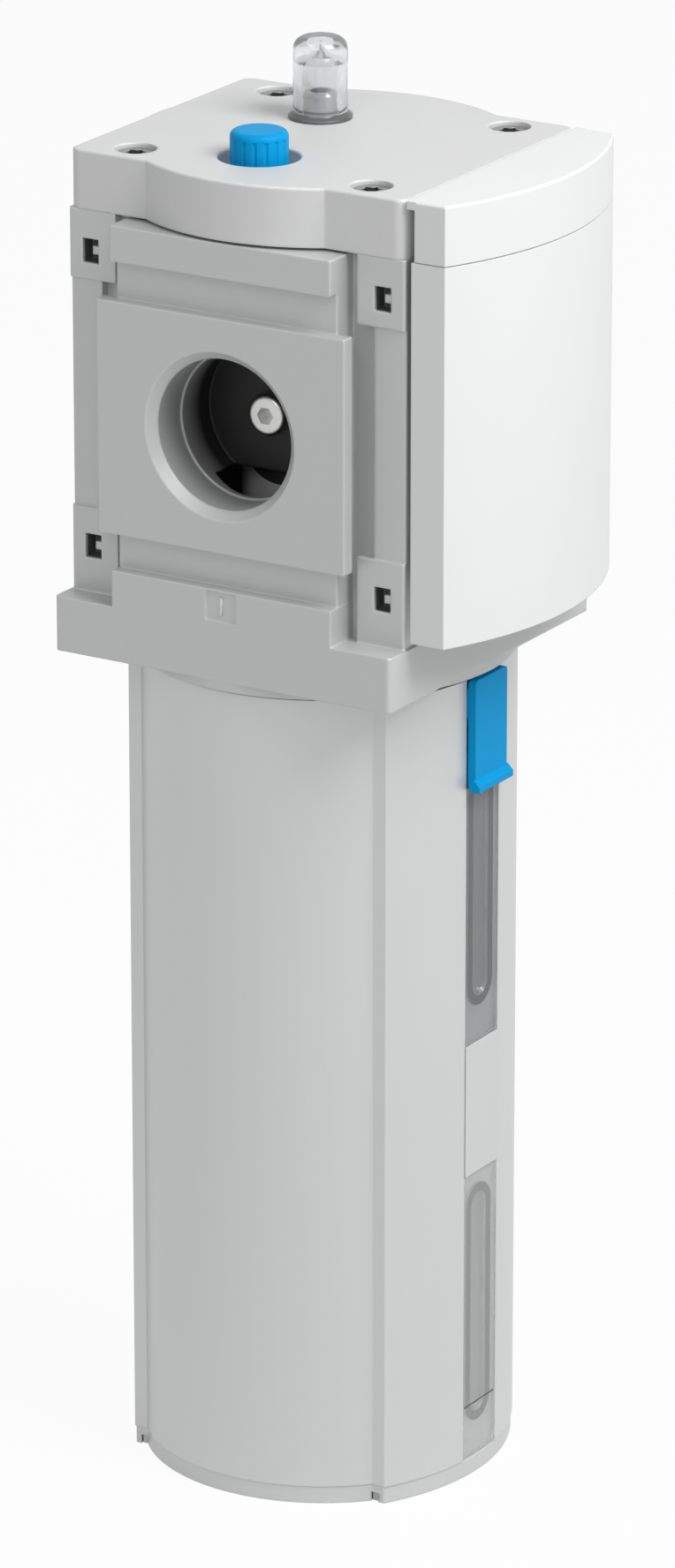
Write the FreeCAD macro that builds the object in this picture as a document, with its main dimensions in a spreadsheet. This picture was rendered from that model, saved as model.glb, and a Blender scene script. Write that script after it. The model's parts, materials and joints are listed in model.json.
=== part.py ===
"""Compressed air filter: die-cast head, extruded bowl, indicator, push button and drain.

The origin is on the bowl's axis at its base. +Z is up, the inlet face looks along -X, the outlet
face along +X, and the white front covers and the sight windows look along -Y. Millimetres.
"""
import FreeCAD, Part
import math
import os
import re

import Sketcher
from FreeCAD import Placement, Rotation, Vector

# Every size that can be set by itself: name, value, what it is.
SIZES = [
    # head
    ("port_span", 124.0, "port face to port face, along X"),
    ("flange_depth", 124.0, "flange, along Y"),
    ("head_gap", 1.0, "head's collar above the bowl"),
    ("flange_thickness", 18.0, "flange"),
    ("edge_radius", 1.5, "rounding of the head's upright edges"),
    ("collar_height", 3.0, "round collar below the flange"),
    ("block_depth", 122.6, "body block, along Y"),
    ("block_height", 125.5, "body block above the flange"),
    ("channel_inset", 14.0, "side channels' floors behind the port faces"),
    ("strip_inset", 10.6, "outer strips behind the port faces"),
    ("strip_inner", 49.8, "inner edge of the outer strips, from the axis"),
    ("corner_inset", 9.6, "corner blocks behind the port faces"),
    ("corner_inner", 44.2, "inner edge of the corner blocks, from the axis"),
    ("corner_upper", 22.5, "height of the upper corner blocks"),
    ("corner_lower", 28.0, "height of the lower corner blocks"),
    ("latch_pocket_width", 6.0, "square connector pockets, along Y"),
    ("latch_pocket_height", 8.0, "square connector pockets, along Z"),
    ("latch_pocket_depth", 6.0, "square connector pockets, along X"),
    ("latch_pocket_side", 53.4, "connector pockets, centre from the axis"),
    ("latch_pocket_rise", 15.3, "lower pockets' centre above the flange"),
    ("latch_pocket_drop", 13.3, "upper pockets' centre below the block's top"),
    ("neck_inset", 4.4, "neck between rail, pad and ledge, behind the port faces"),
    ("rail_length", 80.4, "top rail and neck, along Y"),
    ("rail_height", 11.4, "top rail"),
    ("rail_drop", 0.9, "rail's top below the block's top"),
    ("ledge_length", 80.8, "ledge on the flange, along Y"),
    ("ledge_height", 12.0, "ledge on the flange"),
    ("pad_length", 90.6, "port pad, along Y"),
    ("pad_height", 76.0, "port pad, along Z"),
    ("pad_thickness", 5.0, "port pad, along X"),
    ("port_rise", 62.2, "port axis above the flange's top"),
    ("port_radius", 24.5, "port bore"),
    ("port_chamfer", 2.9, "port mouth chamfer"),
    ("port_depth", 16.0, "port bore, from the port face"),
    ("passage_radius", 23.9, "passages behind the port bores"),
    ("inlet_floor", 30.0, "inlet bore's end wall, from the axis"),
    ("number_width", 10.8, "port number recess, along Y"),
    ("number_height", 9.6, "port number recess, along Z"),
    ("number_depth", 0.7, "port number recess"),
    # passages inside the head
    ("socket_clearance", 0.6, "bayonet socket wider than the bowl's bore"),
    ("ledge_reach", 3.2, "bayonet ledge inside the bowl's bore"),
    ("socket_ledge", 8.0, "bayonet ledge's height, from the collar's lower face"),
    ("socket_height", 21.0, "bayonet socket"),
    ("lug_angle", 38.0, "each bayonet lug, in degrees"),
    ("entry_angle", 45.0, "each entry gap in the ledge, in degrees"),
    ("chamber_radius", 44.0, "ring passage round the outlet duct"),
    ("chamber_height", 43.0, "ring passage above the socket"),
    ("duct_radius", 26.0, "outlet duct, outside"),
    ("duct_bore", 20.0, "outlet duct, inside"),
    ("duct_drop", 9.0, "duct's mouth below the socket's ceiling"),
    ("duct_crown", 86.0, "duct's closed end above the socket's ceiling"),
    ("well_radius", 39.0, "well under the top cover"),
    ("well_depth", 17.5, "well under the top cover"),
    ("sensing_radius", 2.0, "drillings from the well to both air sides"),
    # top cover
    ("cover_thickness", 19.0, "top cover"),
    ("cover_width", 105.0, "top cover's straight sides, along X"),
    ("cover_depth", 122.6, "top cover's straight sides, along Y"),
    ("cover_corner", 4.0, "top cover's corner rounding"),
    ("cover_bulge", 61.8, "radius of the top cover's round bulge"),
    ("screw_x", 42.0, "cover screws from the axis, along X"),
    ("screw_y", 43.0, "cover screws from the axis, along Y"),
    ("screw_shank", 4.0, "cover screw's shank radius"),
    ("screw_head", 6.3, "cover screw's head radius"),
    ("screw_head_height", 7.0, "cover screw's head"),
    ("screw_length", 38.0, "cover screw below its head"),
    ("screw_sink", 1.2, "screw head below the cover's top"),
    ("hole_clearance", 0.25, "screw holes wider than the screws"),
    ("seal_wire", 1.4, "cover seal's section radius"),
    ("seal_ring", 43.6, "cover seal's ring radius"),
    # push button
    ("button_x", -30.0, "push button, along X"),
    ("button_y", 5.0, "push button, along Y"),
    ("button_radius", 9.2, "push button's cap"),
    ("button_rise", 8.6, "push button above the cover"),
    ("button_travel", 3.0, "push button's travel"),
    ("button_flutes", 16.0, "flutes round the cap"),
    ("button_recess", 13.0, "recess round the button, radius"),
    ("button_recess_depth", 6.0, "recess round the button"),
    ("stem_radius", 4.0, "button's stem"),
    ("stem_length", 30.0, "button's stem below the cap"),
    ("bush_radius", 7.0, "guide bush"),
    ("bush_length", 18.0, "guide bush"),
    ("running_gap", 0.06, "radial play of sliding and turning fits"),
    ("clip_height", 1.1, "retaining rings"),
    # indicator
    ("indicator_x", 21.0, "indicator, along X"),
    ("indicator_y", 14.0, "indicator, along Y"),
    ("dome_radius", 8.7, "dome"),
    ("dome_height", 26.4, "dome above the cover"),
    ("dome_foot", 10.3, "dome's foot, radius"),
    ("dome_foot_height", 2.4, "dome's foot"),
    ("dome_bore", 5.7, "dome, inside"),
    ("dome_crown", 4.6, "solid crown of the dome"),
    ("insert_radius", 8.8, "threaded insert in the cover"),
    ("insert_length", 26.0, "threaded insert below the cover's top"),
    ("insert_neck", 9.0, "insert's neck inside the dome"),
    ("pin_radius", 3.2, "indicator pin"),
    ("pin_length", 29.0, "indicator pin"),
    ("pin_flange", 5.8, "indicator pin's flange radius"),
    # white front covers
    ("shield_width", 104.0, "front covers, along X"),
    ("shield_back", 63.3, "back edge of the side walls, from the axis"),
    ("shield_corner", 75.2, "front corners, from the axis"),
    ("shield_front", 88.5, "front's furthest point, from the axis"),
    ("shield_wall", 2.6, "wall of the front covers"),
    ("shield_lift", 2.6, "lower cover above the flange"),
    ("seam", 0.3, "seams between covers"),
    ("cap_rebate", 2.2, "rebate behind the upper cover's side walls"),
    # bowl
    ("bowl_height", 275.0, "bowl with its base cap"),
    ("bowl_half_x", 41.0, "bowl's flat strips, from the axis"),
    ("bowl_half_y", 48.0, "bowl's corners, from the axis"),
    ("bowl_front", 60.0, "bowl's front and back, from the axis"),
    ("bowl_bulge", 59.6, "radius of the bowl's side bulges"),
    ("bowl_bore", 54.0, "bowl, inside"),
    ("rib_screw_x", 37.0, "corner screws, along X"),
    ("rib_screw_y", 44.2, "corner screws, along Y"),
    ("rib_screw", 1.9, "corner screw's shank radius"),
    ("rib_screw_head", 3.6, "corner screw's head radius"),
    ("rib_screw_length", 22.0, "corner screw below its head"),
    ("track_width", 20.4, "front channel"),
    ("track_floor", 57.0, "front channel's floor, from the axis"),
    ("base_thickness", 6.0, "base cap"),
    ("base_inset", 0.35, "base cap inside the bowl's outline"),
    ("plug_height", 10.0, "base cap's plug inside the bowl"),
    ("plug_gap", 0.3, "plug and ring inside the bowl's bore"),
    ("base_seal_wire", 1.5, "base seal's section radius"),
    ("ring_depth", 20.0, "bayonet ring inside the bowl"),
    ("ring_neck", 18.0, "bayonet ring above the bowl"),
    ("ring_reach", 8.0, "bayonet ring's bore inside the bowl's bore"),
    ("lug_gap", 0.5, "play between lug and socket"),
    ("lug_height", 5.4, "bayonet lugs"),
    ("bowl_seal_wire", 1.8, "bowl seal's section radius"),
    # sight windows
    ("glass_front", 59.2, "front of the windows, from the axis"),
    ("glass_width", 20.0, "windows"),
    ("slot_width", 12.4, "stadium slots"),
    ("gasket_wall", 1.6, "window gaskets' rim"),
    ("gasket_height", 0.8, "window gaskets' thickness"),
    ("lower_glass_top", 105.5, "lower window's upper edge"),
    ("lower_slot_bottom", 19.0, "lower slot"),
    ("lower_slot_top", 99.0, "lower slot"),
    ("upper_glass_bottom", 151.0, "upper window's lower edge"),
    ("upper_glass_top", 246.5, "upper window's upper edge"),
    ("upper_slot_bottom", 164.0, "upper slot"),
    ("upper_slot_top", 240.0, "upper slot"),
    # lock slide
    ("slide_bottom", 238.0, "lock slide's lower edge"),
    ("slide_front", 62.3, "lock slide's front, from the axis"),
    ("slide_back", 59.6, "back of the slide's plate, from the axis"),
    ("slide_lip", 2.0, "finger lip in front of the plate"),
    ("slide_lip_height", 4.0, "finger lip"),
    ("slide_play", 0.3, "play of the slide in its track"),
    ("foot_height", 10.0, "slide's foot"),
    ("foot_drop", 3.0, "foot's top below the bowl's top"),
    ("groove_floor", 55.3, "slide track's floor, from the axis"),
    ("groove_lip", 57.3, "back of the lips that hold the foot"),
    ("groove_width", 24.0, "slide track behind its lips"),
    ("stop_height", 4.0, "stop block under the slide's spring"),
    # filter element
    ("element_gap", 6.0, "end caps inside the bayonet ring"),
    ("element_cap", 8.0, "end caps"),
    ("element_length", 140.0, "filter sleeve"),
    ("media_inset", 1.5, "filter sleeve inside the end caps' rim"),
    ("media_bore", 27.0, "filter sleeve, inside"),
    ("core_wall", 2.0, "support tube"),
    ("core_hole", 3.0, "holes in the support tube, radius"),
    ("core_rows", 7.0, "rows of holes"),
    ("element_seal_height", 2.0, "flat seal on the top cap"),
    ("stud_radius", 4.0, "element stud"),
    ("stud_grip", 14.0, "stud in the head above the duct"),
    ("baffle_gap", 7.0, "condensate baffle inside the bowl's bore"),
    ("baffle_thickness", 3.0, "condensate baffle"),
    ("nut_height", 12.0, "element nut"),
    ("nut_radius", 14.0, "element nut"),
    ("deflector_height", 9.0, "flow deflector"),
    ("deflector_lift", 6.0, "flow deflector above the socket's ceiling"),
    ("deflector_vanes", 12.0, "vanes"),
    ("plug_head", 6.8, "passage plug's head radius"),
    ("plug_head_height", 5.2, "passage plug's head"),
    ("plug_shank", 3.0, "passage plug's shank radius"),
    ("plug_socket", 2.9, "passage plug's hexagon, corner radius"),
    # drain
    ("drain_recess", 20.0, "recess under the base, radius"),
    ("drain_recess_depth", 11.0, "recess under the base"),
    ("drain_thread", 7.9, "drain body's thread radius"),
    ("drain_spout", 4.0, "drain spout, outside"),
    ("drain_bore", 2.5, "drain spout, inside"),
    ("drain_flange", 12.0, "drain body's flange radius"),
    ("drain_seal_wire", 1.0, "drain seal's section radius"),
    ("drain_nut_height", 3.5, "drain nut"),
    ("drain_nut_radius", 11.0, "drain nut, over its corners"),
    ("knob_radius", 12.5, "drain knob"),
    ("knob_bottom", 1.0, "drain knob above the floor"),
    ("knob_height", 6.0, "drain knob"),
    ("knob_flutes", 12.0, "flutes round the drain knob"),
]

# Heights and places that follow from the sizes above.
PLACES = {
    "flange_bottom": "bowl_height + head_gap + collar_height",
    "channel_width": "port_span - 2 * channel_inset",
    "strip_width": "port_span - 2 * strip_inset",
    "corner_width": "port_span - 2 * corner_inset",
    "neck_width": "port_span - 2 * neck_inset",
    "socket_radius": "bowl_bore + socket_clearance",
    "socket_ledge_radius": "bowl_bore - ledge_reach",
    "ring_bore": "bowl_bore - ring_reach",
    "element_radius": "ring_bore - element_gap",
    "media_radius": "element_radius - media_inset",
    "baffle_radius": "bowl_bore - baffle_gap",
    "flange_top": "flange_bottom + flange_thickness",
    "block_top": "flange_top + block_height",
    "cover_top": "block_top + cover_thickness",
    "collar_bottom": "flange_bottom - collar_height",
    "port_z": "flange_top + port_rise",
    "socket_top": "collar_bottom + socket_height",
    "ledge_top": "collar_bottom + socket_ledge",
    "chamber_top": "socket_top + chamber_height",
    "duct_bottom": "socket_top - duct_drop",
    "duct_top": "socket_top + duct_crown",
    "well_floor": "block_top - well_depth",
    "rail_top": "block_top - rail_drop",
    "head_seat": "cover_top - screw_sink - screw_head_height",
    "recess_floor": "cover_top - button_recess_depth",
    "button_foot": "recess_floor + button_travel + seam",
    "button_top": "cover_top + button_rise",
    "bush_foot": "recess_floor - bush_length",
    "insert_foot": "cover_top - insert_length",
    "insert_shelf": "insert_foot + 22",
    "pin_foot": "insert_foot + clip_height + 0.5",
    "shield_bottom": "flange_top + shield_lift",
    "shield_top": "block_top - seam",
    "shield_arc": "((shield_width / 2) ^ 2 + (shield_front - shield_corner) ^ 2)"
                  " / (2 * (shield_front - shield_corner))",
    "bowl_arc": "(bowl_half_x ^ 2 + (bowl_front - bowl_half_y) ^ 2) / (2 * (bowl_front - bowl_half_y))",
    "base_arc": "((bowl_half_x - base_inset) ^ 2 + (bowl_front - bowl_half_y) ^ 2)"
                " / (2 * (bowl_front - bowl_half_y))",
    "plug_top": "base_thickness + plug_height",
    "plug_radius": "bowl_bore - plug_gap",
    "neck_radius": "socket_ledge_radius - lug_gap",
    "neck_top": "bowl_height + ring_neck",
    "lug_bottom": "ledge_top + lug_gap",
    "lug_radius": "socket_radius - lug_gap",
    "element_top": "duct_bottom - element_seal_height",
    "media_top": "element_top - element_cap",
    "media_bottom": "media_top - element_length",
    "element_bottom": "media_bottom - element_cap",
    "baffle_bottom": "element_bottom - baffle_thickness",
    "nut_bottom": "baffle_bottom - nut_height",
    "foot_top": "bowl_height - foot_drop",
    "foot_bottom": "foot_top - foot_height",
    "stop_bottom": "upper_glass_top + seam",
    "stop_top": "upper_glass_top + stop_height",
    "drain_ceiling": "drain_recess_depth",
    "knob_top": "knob_bottom + knob_height",
}
NAMES = {name for name, value, note in SIZES}
SIDES = (-1, 1)
CORNERS = [(x, y) for x in SIDES for y in SIDES]

doc = FreeCAD.newDocument("air_filter")
sheet = doc.addObject("Spreadsheet::Sheet", "Sizes")


def fill_sheet():
    """One row for each size: its value with an alias, and what it is."""
    for row, (name, value, note) in enumerate(SIZES, start=1):
        sheet.set(f"A{row}", str(value))
        sheet.setAlias(f"A{row}", name)
        sheet.set(f"B{row}", note)
    doc.recompute()


def formula(text):
    """The text as an expression on the sheet's cells, with every place worked out."""
    def swap(match):
        word = match.group(0)
        if word in PLACES:
            return "(" + formula(PLACES[word]) + ")"
        return "Sizes." + word if word in NAMES else word
    return re.sub(r"[a-z][a-z0-9_]*", swap, str(text))


def value(text):
    """The number that an expression on the sizes gives now."""
    result = sheet.evalExpression(formula(text))
    return float(getattr(result, "Value", result))


def bind(thing, **properties):
    """Bind properties such as Length or Placement__Base__z to expressions."""
    for name, text in properties.items():
        thing.setExpression(name.replace("__", "."), formula(text))
    return thing


class Outline:
    """A sketch on one of a body's origin planes, its points tied to the sheet."""

    def __init__(self, body, plane, offset="0"):
        self.sketch = body.newObject("Sketcher::SketchObject", body.Label + "_sketch")
        base = next(item for item in body.Origin.OriginFeatures if item.Role == plane + "_Plane")
        self.sketch.AttachmentSupport = [(base, "")]
        self.sketch.MapMode = "FlatFace"
        bind(self.sketch, AttachmentOffset__Base__z=offset)

    def tie(self, kind, geometry, point, text):
        """Hold one coordinate of a point at an expression, or on the axis where it is 0."""
        if abs(value(text)) < 1e-9:
            axis = -2 if kind == "DistanceX" else -1
            self.sketch.addConstraint(Sketcher.Constraint("PointOnObject", geometry, point, axis))
            return
        number = self.sketch.addConstraint(
            Sketcher.Constraint(kind, -1, 1, geometry, point, value(text)))
        self.sketch.setExpression(f"Constraints[{number}]", formula(text))

    def circle(self, radius, across="0", along="0"):
        centre = Vector(value(across), value(along), 0)
        number = self.sketch.addGeometry(Part.Circle(centre, Vector(0, 0, 1), value(radius)))
        self.tie("DistanceX", number, 3, across)
        self.tie("DistanceY", number, 3, along)
        size = self.sketch.addConstraint(Sketcher.Constraint("Radius", number, value(radius)))
        self.sketch.setExpression(f"Constraints[{size}]", formula(radius))
        return self

    def loop(self, points, arcs=None):
        """A closed outline. arcs gives a radius to the edge that starts at a point's number,
        negative where the arc bends the other way."""
        arcs = arcs or {}
        places = [Vector(value(x), value(y), 0) for x, y in points]
        edges = []
        for number, start in enumerate(places):
            end = places[(number + 1) % len(places)]
            if number in arcs:
                edges.append(self.arc(start, end, arcs[number]))
            else:
                edges.append((self.sketch.addGeometry(Part.LineSegment(start, end)), 1, 2))
        for number, (edge, first, last) in enumerate(edges):
            follower, follower_first, follower_last = edges[(number + 1) % len(edges)]
            self.sketch.addConstraint(
                Sketcher.Constraint("Coincident", edge, last, follower, follower_first))
            self.tie("DistanceX", edge, first, points[number][0])
            self.tie("DistanceY", edge, first, points[number][1])
        return self

    def arc(self, start, end, radius):
        """An arc from start to end, turning anticlockwise unless its radius is negative."""
        turns_left = not str(radius).startswith("-")
        size = str(radius).lstrip("-")
        if not turns_left:
            start, end = end, start
        chord = end - start
        side = Vector(-chord.y, chord.x, 0).normalize()
        reach = value(size)
        centre = (start + end) * 0.5 + side * math.sqrt(max(reach ** 2 - chord.Length ** 2 / 4, 0))
        angles = [math.atan2(point.y - centre.y, point.x - centre.x) for point in (start, end)]
        circle = Part.Circle(centre, Vector(0, 0, 1), reach)
        number = self.sketch.addGeometry(Part.ArcOfCircle(circle, *angles))
        if abs(2 * reach - chord.Length) < 1e-6:
            self.sketch.addConstraint(Sketcher.Constraint("Symmetric", number, 1, number, 2, number, 3))
        else:
            tie = self.sketch.addConstraint(Sketcher.Constraint("Radius", number, reach))
            self.sketch.setExpression(f"Constraints[{tie}]", formula(size))
        return (number, 1, 2) if turns_left else (number, 2, 1)

    def box(self, left, low, right, high):
        return self.loop([(left, low), (right, low), (right, high), (left, high)])

    def plate(self, width, depth):
        """A rectangle round the origin."""
        return self.box(f"-({width}) / 2", f"-({depth}) / 2", f"({width}) / 2", f"({depth}) / 2")

    def stadium(self, width, low, high):
        """An upright slot with round ends."""
        half = f"({width}) / 2"
        points = [(half, f"{low} + {half}"), (half, f"{high} - {half}"),
                  (f"-{half}", f"{high} - {half}"), (f"-{half}", f"{low} + {half}")]
        return self.loop(points, {1: half, 3: half})


class Piece:
    """A PartDesign body and the features that make it."""

    def __init__(self, label):
        self.body = doc.addObject("PartDesign::Body", label)
        self.body.Label = label

    def outline(self, plane="XY", offset="0"):
        return Outline(self.body, plane, offset)

    def feature(self, kind, outline, **properties):
        made = self.body.newObject("PartDesign::" + kind, self.body.Label + "_" + kind.lower())
        made.Profile = outline.sketch
        for name, setting in properties.items():
            if isinstance(setting, str) and name in ("Length", "Angle"):
                bind(made, **{name: setting})
            else:
                setattr(made, name, setting)
        return settled(made)

    def pad(self, outline, length, **settings):
        return self.feature("Pad", outline, Length=length, **settings)

    def pocket(self, outline, length, **settings):
        """A cut of the given depth; it has to take something away."""
        before = self.body.Shape.Volume
        made = self.feature("Pocket", outline, Length=length, **settings)
        if self.body.Shape.Volume > before - 1e-6:
            raise RuntimeError(self.body.Label + ": a pocket cuts nothing")
        return made

    def revolve(self, outline, kind="Revolution"):
        axis = (outline.sketch, ["V_Axis"])
        return self.feature(kind, outline, ReferenceAxis=axis)

    def around(self, features, count):
        """Repeat features evenly round the Z axis."""
        pattern = self.body.newObject("PartDesign::PolarPattern", self.body.Label + "_pattern")
        pattern.Originals = features
        axis = next(item for item in self.body.Origin.OriginFeatures if item.Role == "Z_Axis")
        pattern.Axis = (axis, [""])
        pattern.Angle = 360
        bind(pattern, Occurrences=count)
        self.body.Tip = pattern
        settled(pattern)

    def edges(self, wanted):
        """Names of the edges for which the test holds."""
        return [f"Edge{number}" for number, edge in enumerate(self.body.Shape.Edges, start=1)
                if wanted(edge)]

    def soften(self, kind, size, wanted):
        """Fillet or chamfer the edges for which the test holds."""
        names = self.edges(wanted)
        base = self.body.Tip
        made = self.body.newObject("PartDesign::" + kind, self.body.Label + "_" + kind.lower())
        made.Base = (base, names)
        bind(made, **{"Radius" if kind == "Fillet" else "Size": size})
        self.body.Tip = made
        settled(made)

    def move(self, across, along, up="0"):
        """Place the piece by expressions."""
        bind(self.body, Placement__Base__x=across, Placement__Base__y=along, Placement__Base__z=up)
        return self


def settled(made):
    """Recompute, and stop where the feature has failed."""
    doc.recompute()
    if "Invalid" in made.State or "Error" in made.State:
        raise RuntimeError(f"{made.Label}: {made.State}")
    return made


def is_upright(edge):
    """True for a straight edge along Z."""
    if not isinstance(edge.Curve, Part.Line):
        return False
    return abs(abs(edge.tangentAt(edge.FirstParameter).z) - 1) < 1e-6


def level(edge):
    """An edge's height where it is level, or None."""
    box = edge.BoundBox
    return box.ZMin if box.ZLength < 1e-6 else None


def turned(label, points, arcs=None, place=("0", "0", "0")):
    """A piece turned about the Z axis from an outline of (radius, height) points."""
    piece = Piece(label)
    piece.revolve(piece.outline("XZ").loop(points, arcs))
    return piece.move(*place)


def tube(label, outer, inner, low, high, place=("0", "0", "0")):
    """A plain ring or tube about the Z axis."""
    return turned(label, [(inner, low), (outer, low), (outer, high), (inner, high)], place=place)


def ring_seal(label, ring, wire, height, place=("0", "0")):
    """A round-section sealing ring at a height."""
    seal = doc.addObject("Part::Torus", label)
    seal.Label = label
    bind(seal, Radius1=ring, Radius2=wire)
    bind(seal, Placement__Base__x=place[0], Placement__Base__y=place[1], Placement__Base__z=height)


def coil(label, radius, wire, low, length, turns, place=("0", "0")):
    """A helical spring that stands on a height, its round wire drawn with eight sides."""
    inner_length = f"({length}) - 2 * ({wire})"
    line = doc.addObject("Part::Helix", label + "_line")
    bind(line, Radius=radius, Height=inner_length, Pitch=f"({inner_length}) / {turns}")
    section = doc.addObject("Part::RegularPolygon", label + "_section")
    section.Polygon = 8
    bind(section, Circumradius=wire)
    section.Placement = Placement(Vector(value(radius), 0, 0), Rotation(Vector(1, 0, 0), 90))
    bind(section, Placement__Base__x=radius)
    sweep = doc.addObject("Part::Sweep", label)
    sweep.Label = label
    sweep.Sections = [section]
    sweep.Spine = (line, ["Edge1"])
    sweep.Solid = True
    sweep.Frenet = True
    bind(sweep, Placement__Base__x=place[0], Placement__Base__y=place[1],
         Placement__Base__z=f"{low} + {wire}")


def head_outside(head):
    """Flange, collar, body block and the interfaces on both sides."""
    head.pad(head.outline("XY", "flange_bottom").plate("port_span", "flange_depth"), "flange_thickness")
    head.soften("Fillet", "edge_radius", is_upright)
    head.pad(head.outline("XY", "collar_bottom").circle("port_span / 2"), "collar_height + 1")
    head.pad(head.outline("XY", "flange_top").plate("channel_width", "block_depth"), "block_height")
    for side in SIDES:
        strip = head.outline("XY", "flange_top")
        strip.box("-strip_width / 2", f"{side} * strip_inner", "strip_width / 2", f"{side} * block_depth / 2")
        head.pad(strip, "block_height")
        for low, height in (("flange_top", "corner_lower"), ("block_top - corner_upper", "corner_upper")):
            corner = head.outline("XY", low)
            corner.box("-corner_width / 2", f"{side} * corner_inner",
                       "corner_width / 2", f"{side} * block_depth / 2")
            head.pad(corner, height)
    outer = value("block_depth / 2")
    head.soften("Fillet", "edge_radius / 2",
                lambda edge: is_upright(edge) and abs(abs(edge.CenterOfMass.y) - outer) < 1e-3
                and edge.CenterOfMass.z > value("flange_top"))
    head.pad(head.outline("XY", "flange_top").plate("neck_width", "rail_length"), "block_height - rail_drop")
    head.pad(head.outline("XY", "flange_top").plate("port_span", "ledge_length"), "ledge_height")
    head.pad(head.outline("XY", "rail_top - rail_height").plate("port_span", "rail_length"), "rail_height")
    for side in SIDES:
        pad = head.outline("YZ", f"{side} * (port_span / 2 - pad_thickness)")
        pad.box("-pad_length / 2", "port_z - pad_height / 2", "pad_length / 2", "port_z + pad_height / 2")
        head.pad(pad, "pad_thickness", Reversed=side < 0)


def head_passages(head):
    """Bayonet socket, ring passage, outlet duct, port bores and the well under the top cover."""
    head.pocket(head.outline("XY", "collar_bottom").circle("socket_ledge_radius"), "socket_height",
                Reversed=True)
    head.pocket(head.outline("XY", "ledge_top").circle("socket_radius"), "socket_height - socket_ledge",
                Reversed=True)
    half = "(entry_angle / 2)"
    reach = "(socket_radius)"
    gap = head.outline("XY", "collar_bottom")
    gap.loop([("0", "0"), (f"{reach} * cos({half} * 1deg)", f"-{reach} * sin({half} * 1deg)"),
              (f"{reach} * cos({half} * 1deg)", f"{reach} * sin({half} * 1deg)")], {1: reach})
    entry = head.pocket(gap, "socket_ledge", Reversed=True)
    head.around([entry], "4")
    head.pocket(head.outline("XY", "socket_top").circle("chamber_radius"), "chamber_height", Reversed=True)
    head.pad(head.outline("XY", "duct_bottom").circle("duct_radius"), "chamber_top - duct_bottom + 1")
    head.pad(head.outline("YZ", "0").circle("port_radius + 3.5", "0", "port_z"), "port_span / 2 - 12")
    head.pocket(head.outline("XY", "duct_bottom").circle("duct_bore"), "duct_top - duct_bottom",
                Reversed=True)
    for side, end in ((1, "duct_bore / 4"), (-1, "inlet_floor")):
        bore = head.outline("YZ", f"{side} * port_span / 2").circle("port_radius", "0", "port_z")
        head.pocket(bore, "port_depth", Reversed=side < 0)
        passage = head.outline("YZ", f"{side} * (port_span / 2 - port_depth)")
        head.pocket(passage.circle("passage_radius", "0", "port_z"),
                    f"port_span / 2 - port_depth - {end}", Reversed=side < 0)
    head.pocket(head.outline("XY", "block_top").circle("well_radius"), "well_depth")
    groove = head.outline("XY", "block_top")
    groove.circle("seal_ring - seal_wire - 0.15").circle("seal_ring + seal_wire + 0.15")
    head.pocket(groove, "2 * seal_wire + 0.1")
    stud = head.outline("XY", "duct_top").circle("stud_radius + 0.1")
    head.pocket(stud, "stud_grip + 1", Reversed=True)
    drillings = head.outline("XY", "well_floor")
    drillings.circle("sensing_radius", "-(port_radius + duct_bore) / 2 - 14", "0")
    head.pocket(drillings, "well_floor - port_z")
    outlet_tap = head.outline("XY", "well_floor").circle("sensing_radius", "12", "0")
    head.pocket(outlet_tap, "well_floor - port_z")
    screws = head.outline("XY", "block_top")
    for x, y in CORNERS:
        screws.circle("screw_shank + hole_clearance", f"{x} * screw_x", f"{y} * screw_y")
    head.pocket(screws, "screw_length - (head_seat - block_top) + 2")
    plug = head.outline("YZ", "-inlet_floor").circle("plug_shank + hole_clearance", "0", "port_z")
    head.pocket(plug, "inlet_floor - duct_bore - 2", Reversed=True)


def head_details(head):
    """Port mouths, connector pockets and the recesses of the port numbers."""
    def port_mouth(edge):
        return (isinstance(edge.Curve, Part.Circle)
                and abs(edge.Curve.Radius - value("port_radius")) < 1e-3
                and abs(abs(edge.CenterOfMass.x) - value("port_span / 2")) < 1e-3)
    head.soften("Chamfer", "port_chamfer", port_mouth)
    for side in SIDES:
        pockets = head.outline("YZ", f"{side} * corner_width / 2")
        for across in SIDES:
            left = f"{across} * latch_pocket_side - latch_pocket_width / 2"
            for height in ("flange_top + latch_pocket_rise", "block_top - latch_pocket_drop"):
                low = f"{height} - latch_pocket_height / 2"
                pockets.box(left, low, f"{left} + latch_pocket_width", f"{low} + latch_pocket_height")
        head.pocket(pockets, "latch_pocket_depth", Reversed=side < 0)
        number = head.outline("YZ", f"{side} * port_span / 2")
        low = "flange_top + 1.8"
        number.box("-number_width / 2", low, "number_width / 2", f"{low} + number_height")
        head.pocket(number, "number_depth", Reversed=side < 0)


def head_housing():
    """The die-cast head."""
    head = Piece("head_housing")
    head_outside(head)
    head_passages(head)
    head_details(head)


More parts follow.
